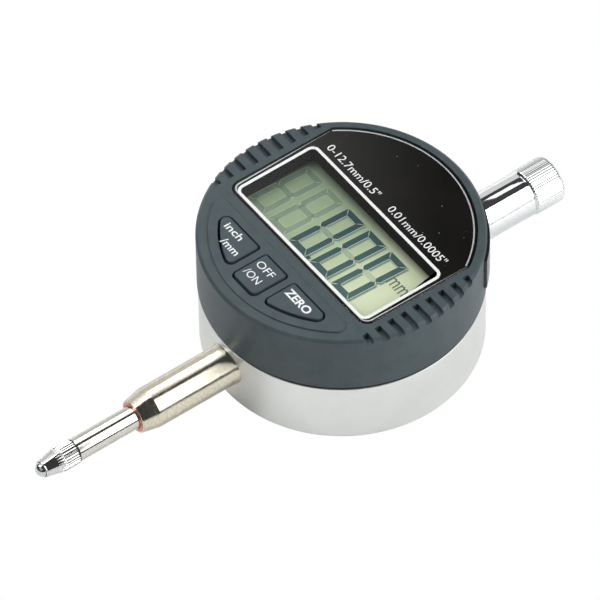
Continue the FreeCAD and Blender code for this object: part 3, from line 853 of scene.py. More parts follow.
def geometry_tree(name: str, sizes: Sequence[str], counts: Sequence[str]) -> tuple[Tree, Node]:
    """Starts a geometry tree with named inputs.

    Args:
        name: The tree's name.
        sizes: Names of the inputs that are lengths, angles or slopes.
        counts: Names of the inputs that are whole numbers.

    Returns:
        The tree and its input node.
    """
    tree = bpy.data.node_groups.new(name, "GeometryNodeTree")
    kinds = {label: "NodeSocketInt" for label in counts} | {label: "NodeSocketFloat" for label in sizes}
    kinds["Finish"] = "NodeSocketMaterial"
    for label, kind in kinds.items():
        tree.interface.new_socket(label, in_out="INPUT", socket_type=kind)
    tree.interface.new_socket("Geometry", in_out="OUTPUT", socket_type="NodeSocketGeometry")
    return tree, add_node(tree, "NodeGroupInput")


def finish_tree(tree: Tree, given: Node, made: Socket) -> None:
    """Ends a tree in Realize Instances and Set Material."""
    real = add_node(tree, "GeometryNodeRealizeInstances", inputs={"Geometry": made})
    inputs = {"Geometry": real.outputs["Geometry"], "Material": given.outputs["Finish"]}
    dressed = add_node(tree, "GeometryNodeSetMaterial", inputs=inputs)
    add_node(tree, "NodeGroupOutput", inputs={"Geometry": dressed.outputs["Geometry"]})


def repeated(tree: Tree, points: Socket, instance: Socket) -> Socket:
    """The instance, set on every point."""
    inputs = {"Points": points, "Instance": instance}
    return add_node(tree, "GeometryNodeInstanceOnPoints", inputs=inputs).outputs["Instances"]


def grow(
    name: str, tree: Tree, lengths: dict[str, float], others: dict[str, float], finish: Finish
) -> Piece:
    """Runs a geometry tree with these sizes and keeps the result as a plain mesh.

    Args:
        name: The piece's name.
        tree: The geometry tree.
        lengths: Values for its length inputs, in millimetres.
        others: Values for its counts, slopes and angles.
        finish: The finish that its Finish input takes.

    Returns:
        The piece.
    """
    seed = bpy.data.objects.new(name, bpy.data.meshes.new(name))
    bpy.context.scene.collection.objects.link(seed)
    step = seed.modifiers.new("grow", "NODES")
    step.node_group = tree
    values = {label: length * MM for label, length in lengths.items()} | others
    values["Finish"] = SHELF.get(finish)
    for item in tree.interface.items_tree:
        if item.in_out == "INPUT":
            step[item.identifier] = values[item.name]
    made = baked(seed)
    seed.modifiers.remove(step)
    seed.data = made
    return seed


TOOTH_SIDES = 8.0
ROUND_DROP = -0.8


def knurl_tree() -> Tree:
    """A straight-knurled solid along the spindle, coned at its near end, rounded at its far end.

    Inputs: Radius and Depth of the teeth, Teeth, Rows of faces along them, Start and End along
    the axis, Near Radius and Near Slope of the cone that runs the teeth out, Far Round, and
    Height of the axis, all in metres but Teeth, Rows and Near Slope.
    """
    sizes = ("Radius", "Depth", "Start", "End", "Near Radius", "Near Slope", "Far Round", "Height")
    tree, given = geometry_tree("straight_knurl", sizes, ("Teeth", "Rows"))
    g = given.outputs

    def calc(operation: str, *values: object) -> Socket:
        """One sum in this tree."""
        return math_node(tree, operation, *values)

    grid = add_node(
        tree,
        "GeometryNodeMeshCylinder",
        {"fill_type": "TRIANGLE_FAN"},
        {
            "Vertices": calc("MULTIPLY", g["Teeth"], TOOTH_SIDES),
            "Side Segments": g["Rows"],
            "Radius": 1.0,
            "Depth": 1.0,
        },
    )
    x, y, z = split(tree, add_node(tree, "GeometryNodeInputPosition").outputs["Position"])
    turn = calc("ARCTAN2", y, x)
    wave = calc("COSINE", calc("MULTIPLY", turn, calc("MULTIPLY", g["Teeth"], 0.5)))
    crest = calc("SUBTRACT", calc("ABSOLUTE", wave), 1.0)
    toothed = calc("MULTIPLY_ADD", crest, g["Depth"], g["Radius"])
    length = calc("SUBTRACT", g["End"], g["Start"])
    along = calc("MULTIPLY_ADD", calc("ADD", z, 0.5), length, g["Start"])
    cone = calc("MULTIPLY_ADD", calc("SUBTRACT", along, g["Start"]), g["Near Slope"], g["Near Radius"])
    inside = calc("MAXIMUM", calc("SUBTRACT", g["Far Round"], calc("SUBTRACT", g["End"], along)), 0.0)
    sunk = calc("DIVIDE", calc("MULTIPLY", inside, inside), g["Far Round"])
    rounded = calc("MULTIPLY_ADD", sunk, ROUND_DROP, toothed)
    spoke = calc("SQRT", calc("MULTIPLY_ADD", x, x, calc("MULTIPLY", y, y)))
    reach = calc("MULTIPLY", calc("MINIMUM", rounded, cone), spoke)
    across = calc("MULTIPLY", reach, calc("COSINE", turn))
    up = calc("MULTIPLY_ADD", reach, calc("SINE", turn), g["Height"])
    inputs = {"Geometry": grid.outputs["Mesh"], "Position": combine(tree, across, along, up)}
    moved = add_node(tree, "GeometryNodeSetPosition", inputs=inputs)
    faced = add_node(tree, "GeometryNodeFlipFaces", inputs={"Mesh": moved.outputs["Geometry"]})
    finish_tree(tree, given, faced.outputs["Mesh"])
    return tree


def notch_tree() -> Tree:
    """Cutters for the grip notches: a row of blocks up each side of the bezel.

    Inputs: Count, Pitch, Width, Inner (where a notch starts, from the middle), Reach, Floor
    and Top, in metres but Count.
    """
    sizes = ("Pitch", "Width", "Inner", "Reach", "Floor", "Top")
    tree, given = geometry_tree("grip_notches", sizes, ("Count",))
    g = given.outputs

    def calc(operation: str, *values: object) -> Socket:
        """One sum in this tree."""
        return math_node(tree, operation, *values)

    tall = calc("SUBTRACT", g["Top"], g["Floor"])
    block_size = combine(tree, g["Reach"], g["Width"], tall)
    block = add_node(tree, "GeometryNodeMeshCube", inputs={"Size": block_size}).outputs["Mesh"]
    half_row = calc("MULTIPLY", calc("SUBTRACT", g["Count"], 1.0), calc("MULTIPLY", g["Pitch"], -0.5))
    middle_z = calc("MULTIPLY", calc("ADD", g["Top"], g["Floor"]), 0.5)
    middle_x = calc("MULTIPLY_ADD", g["Reach"], 0.5, g["Inner"])
    step = combine(tree, y=g["Pitch"])
    both = add_node(tree, "GeometryNodeJoinGeometry")
    for side in (1.0, -1.0):
        start = combine(tree, calc("MULTIPLY", middle_x, side), half_row, middle_z)
        inputs = {"Count": g["Count"], "Start Location": start, "Offset": step}
        row = add_node(tree, "GeometryNodeMeshLine", inputs=inputs)
        tree.links.new(repeated(tree, row.outputs["Mesh"], block), both.inputs["Geometry"])
    finish_tree(tree, given, both.outputs["Geometry"])
    return tree


def hole_ring_tree() -> Tree:
    """Cutters for a ring of round holes about the Z axis, centred on its plane.

    Inputs: Count, Ring (the radius that the holes stand on), Turn of the first in radians,
    Radius and Depth of each, in metres but Count and Turn.
    """
    tree, given = geometry_tree("hole_ring", ("Ring", "Turn", "Radius", "Depth"), ("Count",))
    g = given.outputs
    ring = add_node(tree, "GeometryNodeMeshCircle", inputs={"Vertices": g["Count"], "Radius": g["Ring"]})
    inputs = {"Geometry": ring.outputs["Mesh"], "Rotation": combine(tree, z=g["Turn"])}
    spun = add_node(tree, "GeometryNodeTransform", inputs=inputs)
    inputs = {"Vertices": 48, "Radius": g["Radius"], "Depth": g["Depth"]}
    hole = add_node(tree, "GeometryNodeMeshCylinder", inputs=inputs)
    finish_tree(tree, given, repeated(tree, spun.outputs["Geometry"], hole.outputs["Mesh"]))
    return tree


# ---------------------------------------------------------------- outlines of the face


def mirrored(outline: Outline) -> Outline:
    """The outline on the other side of the Y axis, still anticlockwise."""
    return [(-x, y) for x, y in reversed(outline)]


@dataclass
class FacePlan:
    """The outlines on the bezel's face, each drawn in by an inset."""

    window_x: float = 20.95
    window_y0: float = -10.3
    window_head: float = 24.8
    window_foot: float = 2.2
    window_shoulder: float = 0.5
    view_x: float = 19.04
    view_y0: float = -9.09
    view_y1: float = 7.89
    view_corner: float = 1.0
    pad_r: float = 24.3
    pad_y: float = -12.4
    pad_corner: float = 1.7
    key_top: float = -14.2
    key_in_x: float = 5.0
    key_arc: float = 22.4
    key_mid_x: float = 3.5
    key_mid_y: float = -22.5
    key_corners: tuple[float, float, float] = (0.8, 1.5, 1.2)

    def window(self, inset: float) -> Outline:
        """The window: straight sides and foot under a round head."""
        x, foot, small = self.window_x, self.window_foot, self.window_shoulder
        rise = math.sqrt((self.window_head - small) ** 2 - (x - small) ** 2)
        turn = math.degrees(math.atan2(rise, x - small))
        arcs = [
            (x - foot, self.window_y0 + foot, foot, -90.0, 0.0),
            (x - small, rise, small, 0.0, turn),
            (0.0, 0.0, self.window_head, turn, 180 - turn),
            (small - x, rise, small, 180 - turn, 180.0),
            (foot - x, self.window_y0 + foot, foot, 180.0, 270.0),
        ]
        return arc_outline(arcs, inset)

    def view(self, inset: float) -> Outline:
        """The display's opening in the print."""
        corners = [self.view_corner] * 4
        arcs = rounded_box_arcs(-self.view_x, self.view_x, self.view_y0, self.view_y1, corners)
        return arc_outline(arcs, inset)

    def pad(self, inset: float) -> Outline:
        """The raised keypad land: the foot of the disc."""
        small = self.pad_corner
        drop = self.pad_y - small
        side = math.sqrt((self.pad_r - small) ** 2 - drop**2)
        turn = math.degrees(math.atan2(drop, side))
        arcs = [
            (0.0, 0.0, self.pad_r, -180 - turn, turn),
            (side, drop, small, turn, 90.0),
            (-side, drop, small, 90.0, 180 - turn),
        ]
        return arc_outline(arcs, inset)

    def key(self, key: Key, inset: float) -> Outline:
        """A key's outline: the middle oblong, or the wedge at its side."""
        near, outer, foot = self.key_corners
        if key is Key.POWER:
            half, corners = self.key_mid_x, (foot, near, near, foot)
            return arc_outline(rounded_box_arcs(-half, half, self.key_mid_y, self.key_top, corners), inset)
        drop = self.key_top - outer
        side = math.sqrt((self.key_arc - outer) ** 2 - drop**2)
        turn = math.degrees(math.atan2(drop, side))
        inner = self.key_in_x + foot
        sink = -math.sqrt((self.key_arc - foot) ** 2 - inner**2)
        low_turn = math.degrees(math.atan2(sink, inner))
        arcs = [
            (0.0, 0.0, self.key_arc, low_turn, turn),
            (side, drop, outer, turn, 90.0),
            (self.key_in_x + near, self.key_top - near, near, 90.0, 180.0),
            (inner, sink, foot, 180.0, 360 + low_turn),
        ]
        wedge = arc_outline(arcs, inset)
        return mirrored(wedge) if key is Key.UNITS else wedge


PLAN = FacePlan()


# ---------------------------------------------------------------- case


@dataclass
class FrontBezel:
    """The moulded face and skirt, with its window pocket, keypad land and grip notches."""

    face_z: float = PAD_Z - 0.35
    wall: float = 2.0
    under_z: float = 25.0
    chamfer: float = 0.5
    break_edge: float = 0.12
    throat: float = 0.26
    notch_count: int = 9
    notch_pitch: float = 2.825
    notch_width: float = 1.25
    notch_depth: float = 1.1
    notch_inner: float = 22.2
    notch_reach: float = 8.0
    spare: float = 2.0
    door_deg: float = 57.0
    door_half: float = 7.52
    door_z0: float = 17.53
    door_z1: float = 25.47
    under_rings: list[Ring] = field(default_factory=list)

    def build(self) -> Piece:
        """Builds the shell ring by ring, then cuts the notches and the door opening."""
        shell = bmesh.new()
        rim = self.outer_wall(shell)
        pocket = self.window_pocket(shell)
        land = self.keypad_land(shell)
        fill_between(shell, rim, pocket, land)
        piece = new_piece("bezel_shell", shell)
        self.cut_notches(piece)
        cut_away(piece, self.door_cutter())
        return self.resmooth(piece)

    def outer_wall(self, shell: Shell) -> Ring:
        """The skirt, inside and out. Returns the ring where the top face starts."""
        edge, r, top = self.chamfer, BEZEL_R, self.face_z
        levels = [
            (r - edge - 0.02, top),
            (r - edge + 0.02, top - 0.03),
            (r - 0.03, top - edge + 0.02),
            (r, top - edge - 0.02),
            (r, top - self.notch_depth - 0.2),
            (r, BEZEL_Z0 + 0.18),
            (r - 0.06, BEZEL_Z0 + 0.05),
            (r - 0.2, BEZEL_Z0),
            (r - self.wall, BEZEL_Z0),
            (r - self.wall, self.under_z),
        ]
        rings = rings_up(shell, circle_outline, levels)
        self.under_rings.append(rings[-1])
        return rings[0]

    def window_pocket(self, shell: Shell) -> Ring:
        """The lens pocket and the display opening below it. Returns its ring in the face."""
        rings = rings_up(shell, PLAN.window, self.eased(self.face_z, LENS_Z0))
        throat = rings_up(shell, PLAN.view, ((-self.throat, LENS_Z0), (-self.throat, self.under_z)))
        fill_between(shell, rings[-1], throat[0])
        self.under_rings.append(throat[1])
        return rings[0]

    def eased(self, top: float, bottom: float) -> list[Point2]:
        """Insets and heights of a hole whose edge is eased at the top."""
        cut = self.break_edge
        return [(-cut, top), (-cut / 3, top - cut / 3), (0.0, top - cut), (0.0, bottom)]

    def keypad_land(self, shell: Shell) -> Ring:
        """The raised land and its three key holes. Returns its ring in the face."""
        levels = [
            (-0.1, self.face_z),
            (0.0, self.face_z + 0.06),
            (0.03, PAD_Z - 0.14),
            (0.1, PAD_Z - 0.04),
            (0.22, PAD_Z),
        ]
        rings = rings_up(shell, PLAN.pad, levels)
        holes = [rings_up(shell, partial(PLAN.key, key), self.eased(PAD_Z, self.under_z)) for key in Key]
        self.under_rings += [hole[-1] for hole in holes]
        fill_between(shell, rings[-1], *(hole[0] for hole in holes))
        fill_between(shell, *self.under_rings)
        return rings[0]

    def cut_notches(self, piece: Piece) -> None:
        """Cuts the grip notches with a grown row of blocks."""
        lengths = {
            "Pitch": self.notch_pitch,
            "Width": self.notch_width,
            "Inner": self.notch_inner,
            "Reach": self.notch_reach,
            "Floor": self.face_z - self.notch_depth,
            "Top": self.face_z + self.spare,
        }
        row = grow("notch_cutters", notch_tree(), lengths, {"Count": self.notch_count}, BEZEL_ABS)
        cut_away(piece, row)

    def door_cutter(self) -> Piece:
        """The block that opens the side wall for the battery drawer."""
        shell = bmesh.new()
        bmesh.ops.create_cube(shell, size=1.0)
        deep, wide, tall = 3 * self.wall, 2 * self.door_half, self.door_z1 - self.door_z0
        fit = Matrix.Diagonal((deep, wide, tall, 1.0))
        out = Matrix.Translation((BEZEL_R, 0.0, (self.door_z0 + self.door_z1) / 2))
        turn = Matrix.Rotation(math.radians(self.door_deg), 4, "Z")
        bmesh.ops.transform(shell, matrix=turn @ out @ fit, verts=shell.verts)
        return new_piece("door_cutter", shell)

    def resmooth(self, piece: Piece) -> Piece:
        """Shades the cut shell again, with its new edges sharp."""
        shell = bmesh.new()
        shell.from_mesh(piece.data)
        bmesh.ops.scale(shell, vec=(1 / MM,) * 3, verts=shell.verts)
        bpy.data.objects.remove(piece)
        return new_piece("bezel_shell", shell, FACE_SHARP_DEG)

    def dress(self) -> None:
        """Builds and finishes the bezel."""
        dress(self.build(), BEZEL_ABS, CASE, "bezel_abs", "front_bezel")


@dataclass
class RearHousing:
    """The satin metal cup, its back plate and screws, and the seal above it."""

    radius: float = 26.3
    edge: float = 0.7
    seam: float = 0.15
    wall: float = 2.5
    floor_z0: float = 1.6
    floor_z1: float = 3.0
    recess_r: float = 24.9
    back_r: float = 24.8
    back_z1: float = 1.55
    back_edge: float = 0.35
    screw_count: int = 4
    screw_ring: float = 20.0
    screw_hole: float = 1.9
    hole_depth: float = 1.0
    seal_inset: float = 0.15

    def recesses(self) -> Piece:
        """Cutters for the screw recesses in the back plate, grown as one ring."""
        lengths = {"Ring": self.screw_ring, "Radius": self.screw_hole, "Depth": 2 * self.hole_depth}
        others = {"Count": self.screw_count, "Turn": math.pi / self.screw_count}
        return grow("recess_cutters", hole_ring_tree(), lengths, others, SATIN_ALLOY)

    def dress(self) -> None:
        """Builds and finishes the housing group."""
        bottom, top = low("rear_housing").z, high("rear_housing").z - self.seam
        inner = self.radius - self.wall
        cup = [
            (0.0, self.floor_z0, 0.0),
            (self.recess_r, self.floor_z0, 0.0),
            (self.recess_r, bottom, 0.12),
            (self.radius, bottom, self.edge),
            (self.radius, top, 0.12),
            (inner, top, 0.0),
            (inner, self.floor_z1, 0.0),
            (0.0, self.floor_z1, 0.0),
        ]
        housing = turned("housing_cup", cup, Spin.UPRIGHT, 240)
        dress(housing, SATIN_ALLOY, CASE, "satin_housing", "rear_housing")
        plate = [
            (0.0, 0.0, 0.0),
            (self.back_r, 0.0, self.back_edge),
            (self.back_r, self.back_z1, 0.0),
            (0.0, self.back_z1, 0.0),
        ]
        back = turned("back_plate", plate, Spin.UPRIGHT, 200)
        cut_away(back, self.recesses())
        dress(back, SATIN_ALLOY, CASE, "satin_housing", "back_cover")
        outer, head = high("seal_ring").x - self.seal_inset, high("seal_ring").z
        seal = [(outer, top, 0.0), (outer, head, 0.0), (inner, head, 0.0), (inner, top, 0.0)]
        ring = turned("seal_band", seal, Spin.UPRIGHT, 200, looped=True)
        dress(ring, RUBBER, CASE, "black_rubber", "seal_ring")


# ---------------------------------------------------------------- window and display


@dataclass
class DisplayWindow:
    """The clear lens, its gloss print, the two printed lines and the range legends."""

    line: Point2 = (0.58, 0.84)
    liner: float = 0.24
    liner_drop: float = 0.02
    legends: tuple[tuple[str, Legend], ...] = (
        ("legend_range", Legend('0-12.7mm/0.5"', -17.6, -2.7, 9.6, 1.72)),
        ("legend_resolution", Legend('0.01mm/0.0005"', 0.9, 17.4, 9.6, 1.72)),
    )

    def dress(self) -> None:
        """Builds and finishes the window group."""
        levels = [(0.1, LENS_Z0), (0.1, LENS_Z1 - 0.12), (0.14, LENS_Z1 - 0.04), (0.22, LENS_Z1)]
        lens = stacked("window_lens_clear", PLAN.window, levels)
        dress(lens, WINDOW_CLEAR, CASE, "clear_window", "window_lens")
        dress(self.print_sheet(), WINDOW_PRINT, CASE, "black_print", "window_mask")
        head = LENS_Z1 - self.liner_drop
        levels = [(-self.liner, LCD_Z1), (-self.liner, head), (0.0, head), (0.0, LCD_Z1)]
        liner = stacked("display_well", PLAN.view, levels, looped=True)
        dress(liner, BLACK_INNER, CASE, "black_plastic")
        top = MASK_Z1 + INK_FILM
        near, far = self.line
        levels = [(near, MASK_Z1), (near, top), (far, top), (far, MASK_Z1)]
        dress(stacked("silver_line", PLAN.window, levels, looped=True), SILVER_INK, CASE, "black_print")
        top += INK_FILM
        levels = [(-0.62, MASK_Z1), (-0.6, top), (-0.03, top), (-0.005, MASK_Z1)]
        dress(stacked("display_frame_line", PLAN.view, levels, looped=True), FRAME_INK, CASE, "black_print")
        for name, legend in self.legends:
            dress(lettering(name, legend, MASK_Z1), WHITE_INK, CASE, "black_print")

    def print_sheet(self) -> Piece:
        """The printed sheet: the window's outline with the display's opening."""
        shell = bmesh.new()
        outer = rings_up(shell, PLAN.window, ((0.24, LENS_Z1), (0.24, MASK_Z1 - 0.06), (0.3, MASK_Z1)))
        inner = rings_up(shell, PLAN.view, ((0.0, LENS_Z1), (0.0, MASK_Z1)))
        zip_rings(shell, outer[-1], inner[-1])
        zip_rings(shell, outer[0], inner[0])
        return new_piece("window_print", shell)


@dataclass
class CrystalDisplay:
    """The display glass, five seven-segment digits, the point and the unit flag."""

    film: float = 0.02
    digit_width: float = 5.0
    digit_height: float = 13.3
    digit_base: float = -7.35
    stroke: float = 1.25
    gap: float = 0.1
    slant: float = 0.045
    shadow_shift: Point2 = (0.42, -0.1)
    shadow_soft: float = 0.3
    edge_width: float = 0.11
    shade_width: Point2 = (2.4, 1.7)
    places: tuple[float, ...] = (-18.65, -12.35, -6.05, 0.4, 6.85)
    lit_from: int = 2
    lit_zero: str = "abcdef"
    point_x: Point2 = (5.15, 6.0)
    point_height: float = 0.75
    lean_shift: float = 0.3
    sink: float = 0.05
    flag: Legend = Legend("mm", 12.3, 16.8, 0.85, 3.2)

    def segments(self) -> dict[str, Outline]:
        """The seven segments' outlines, for a digit that starts at the origin."""
        w, h, s, g = self.digit_width, self.digit_height, self.stroke, self.gap / 2
        mid = h / 2

        def side_to_side(points: Outline) -> Outline:
            """The outline turned over left to right."""
            return [(w - x, y) for x, y in reversed(points)]

        def end_to_end(points: Outline) -> Outline:
            """The outline turned over top to bottom."""
            return [(x, h - y) for x, y in reversed(points)]

        top = [(g * 3, h), (w - g * 3, h), (w - s - g, h - s), (s + g, h - s)]
        left_top = [
            (0.0, h - g * 3),
            (s - g, h - s - g * 2),
            (s - g, mid + s / 2 + g),
            (s / 2, mid + g),
            (0.0, mid + s / 2),
        ]
        bar = [(s / 2 + g, mid), (s + g, mid + s / 2), (w - s - g, mid + s / 2)]
        bar += side_to_side(end_to_end(bar))
        return {
            "a": top,
            "f": left_top,
            "b": side_to_side(left_top),
            "g": bar,
            "e": end_to_end(left_top),
            "c": side_to_side(end_to_end(left_top)),
            "d": end_to_end(top),
        }

    def placed(self, points: Outline, left: float, shift: Point2 = (0.0, 0.0)) -> Outline:
        """A segment's outline at its digit's place, slanted."""
        right, up = left + self.lean_shift + shift[0], self.digit_base + shift[1]
        return [(right + x + (y - self.digit_height) * self.slant, up + y) for x, y in points]

    def spread(self, outline: Outline, reach: float) -> Outline:
        """The outline pushed out from its middle both ways."""
        middle = [sum(places) / len(outline) for places in zip(*outline)]
        return [tuple(p + math.copysign(reach, p - m) for p, m in zip(point, middle)) for point in outline]

    def add_film(self, shell: Shell, outline: Outline, z: float) -> None:
        """Adds one thin flat piece with this outline."""
        under, top = ring_at(shell, outline, z), ring_at(shell, outline, z + self.film)
        join_rings(shell, under, top)
        shell.faces.new(under)
        shell.faces.new(top)

    def digits(self, name: str, lit: bool, z: float) -> Piece:
        """All lit or all idle segments as one piece."""
        shell = bmesh.new()
        for i, left in enumerate(self.places):
            for letter, points in self.segments().items():
                on = i >= self.lit_from and letter in self.lit_zero
                if on == lit:
                    self.add_film(shell, self.placed(points, left), z)
        if lit:
            near, far = self.point_x
            dot = [(near, 0.0), (far, 0.0), (far, self.point_height), (near, self.point_height)]
            self.add_film(shell, self.placed(dot, self.places[self.lit_from]), z)
        return new_piece(name, shell)

    def shadows(self, z: float) -> Piece:
        """The lit segments' soft shadows: each a flat core with a sloping rim."""
        shell = bmesh.new()
        painted_shade = shell.verts.layers.float.new(PAINTED_SHADE)
        for left in self.places[self.lit_from :]:
            for letter in self.lit_zero:
                core = self.placed(self.segments()[letter], left, self.shadow_shift)
                rim = ring_at(shell, self.spread(core, self.shadow_soft), z)
                top = ring_at(shell, core, z + self.film * 0.4)
                for vert in top:
                    vert[painted_shade] = 1.0
                join_rings(shell, rim, top)
                shell.faces.new(top)
                shell.faces.new(rim)
        return new_piece("lcd_shadows", shell)

    def edges(self, z: float) -> Piece:
        """The pale line that the electrode gap leaves round each segment."""
        shell = bmesh.new()
        for left in self.places:
            for points in self.segments().values():
                self.add_film(shell, self.spread(self.placed(points, left), self.edge_width), z)
        return new_piece("lcd_segment_edges", shell)

    def plate(self, lo: Vector, hi: Vector) -> Piece:
        """The glass, with painted shade along its left and far sides, where the well's walls shadow it."""
        shell = bmesh.new()
        painted_shade = shell.verts.layers.float.new(PAINTED_SHADE)
        wide, tall = self.shade_width
        top = hi.z - self.sink
        left, far = -PLAN.view_x - 0.2, PLAN.view_y1 + 0.2
        xs = (lo.x, left, left + wide * 0.35, left + wide, hi.x)
        ys = (lo.y, far - tall, far - tall * 0.35, far, hi.y)
        # Painted shade: the glass darkens towards its left and far edges, where the well's walls shadow it.
        shade_levels = (1.0, 0.9, 0.4, 0.0, 0.0)
        grid = [[shell.verts.new((x, y, top)) for x in xs] for y in ys]
        for row, shade_y in zip(grid, reversed(shade_levels)):
            for vert, shade_x in zip(row, shade_levels):
                vert[painted_shade] = max(shade_x, shade_y)
        for row, above in zip(grid, grid[1:]):
            for i in range(len(xs) - 1):
                shell.faces.new((row[i], row[i + 1], above[i + 1], above[i]))
        around = grid[0] + [row[-1] for row in grid[1:]] + grid[-1][-2::-1]
        around += [row[0] for row in grid[-2:0:-1]]
        under = ring_at(shell, [(v.co.x, v.co.y) for v in around], lo.z)
        join_rings(shell, around, under)
        shell.faces.new(under)
        return new_piece("lcd_glass_plate", shell)

    def dress(self) -> None:
        """Builds and finishes the display."""
        lo, hi = low("lcd_panel"), high("lcd_panel")
        dress(self.plate(lo, hi), LCD_FACE, CASE, "lcd_glass", "lcd_panel")
        floor = hi.z - self.sink
        dress(self.shadows(floor + 0.002), LCD_SHADOW, CASE, "lcd_glass")
        dress(self.edges(floor - 0.004), LCD_EDGE, CASE, "lcd_glass")
        dress(self.digits("lcd_idle_segments", False, floor + 0.004), LCD_IDLE, CASE, "lcd_glass")
        dress(self.digits("lcd_lit_segments", True, floor + 0.02), LCD_LIT, CASE, "lcd_glass")
        dress(lettering("lcd_unit_flag", self.flag, floor + 0.004), LCD_FLAG, CASE, "lcd_glass")


# ---------------------------------------------------------------- keys


KEY_BODIES = {Key.UNITS: "units_key", Key.POWER: "power_key", Key.ZERO: "zero_key"}
KEY_WORDS = {
    Key.UNITS: (
        Legend("inch", -13.2, -8.6, -16.8, 1.62, 0.012),
        Legend("/mm", -10.75, -6.2, -19.5, 1.62, 0.012),
    ),
    Key.POWER: (Legend("OFF", -2.45, 1.95, -17.6, 1.68), Legend("/ON", -2.45, 1.6, -20.4, 1.68)),
    Key.ZERO: (Legend("ZERO", 6.1, 12.7, -17.35, 1.72, 0.03),),
}


@dataclass
class Keypad:
    """The three moulded keys and their printed legends."""

    gap: float = 0.36
    top: float = high("power_button").z - 0.02
    foot_z: float = 24.7

    def cap(self, key: Key) -> Piece:
        """One key's cap: a crowned top with rounded edges."""
        levels = [
            (self.gap, self.foot_z),
            (self.gap, self.top - 0.3),
            (self.gap + 0.03, self.top - 0.16),
            (self.gap + 0.11, self.top - 0.05),
            (self.gap + 0.24, self.top),
        ]
        return stacked(key.value + "_cap", partial(PLAN.key, key), levels)

    def dress(self) -> None:
        """Builds and finishes the keys and their legends."""
        film = self.top - INK_FILM * 0.8
        for key, body in KEY_BODIES.items():
            dress(self.cap(key), KEY_ABS, body, "key_abs", key.value)
            for i, legend in enumerate(KEY_WORDS[key], 1):
                words = lettering(f"{key.value}_legend_{i}", legend, film)
                dress(words, WHITE_INK, body, "key_abs")


# ---------------------------------------------------------------- spindle line


@dataclass
class StemGroup:
    """The plated mounting stem with its tapered nose and copper bush."""

    radius: float = 4.0
    nose_r: float = 3.3
    nose_y: float = -47.1
    cone_y: float = -43.5
    bush_r: float = 2.95
    bush_bore: float = 2.29
    bush_end: float = -39.2
    seat_y: float = -39.0
    bore: float = 3.0
    flare: float = 0.22
    flare_ys: tuple[float, float, float, float] = (-27.0, -26.2, -25.9, -25.6)

    def dress(self) -> None:
        """Builds and finishes the stem and its bush."""
        inner = high("stem").y
        rises = (0.0, self.flare, self.flare, 0.0)
        flared = [(self.radius + rise, y, 0.0) for rise, y in zip(rises, self.flare_ys)]
        profile = [
            (self.bush_r, self.nose_y, 0.0),
            (self.nose_r, self.nose_y, 0.18),
            (self.radius, self.cone_y, 0.25),
            *flared,
            (self.radius, inner, 0.0),
            (self.bore, inner, 0.0),
            (self.bore, self.seat_y, 0.0),
            (self.bush_r, self.seat_y, 0.0),
        ]
        stem = turned("mounting_stem", profile, Spin.SPINDLE, 128, looped=True)
        dress(stem, NICKEL, CASE, "nickel_stem", "stem")
        lip = low("lower_bush").y
        skin = self.bush_r - 0.02
        ring = [
            (self.bush_bore, lip + 0.15, 0.0),
            (self.bush_bore + 0.12, lip, 0.0),
            (skin, lip, 0.06),
            (skin, self.bush_end, 0.0),
            (self.bush_bore, self.bush_end, 0.0),
        ]
        bush = turned("nose_bush", ring, Spin.SPINDLE, 96, looped=True)
        dress(bush, COPPER, CASE, "copper_bush", "lower_bush")


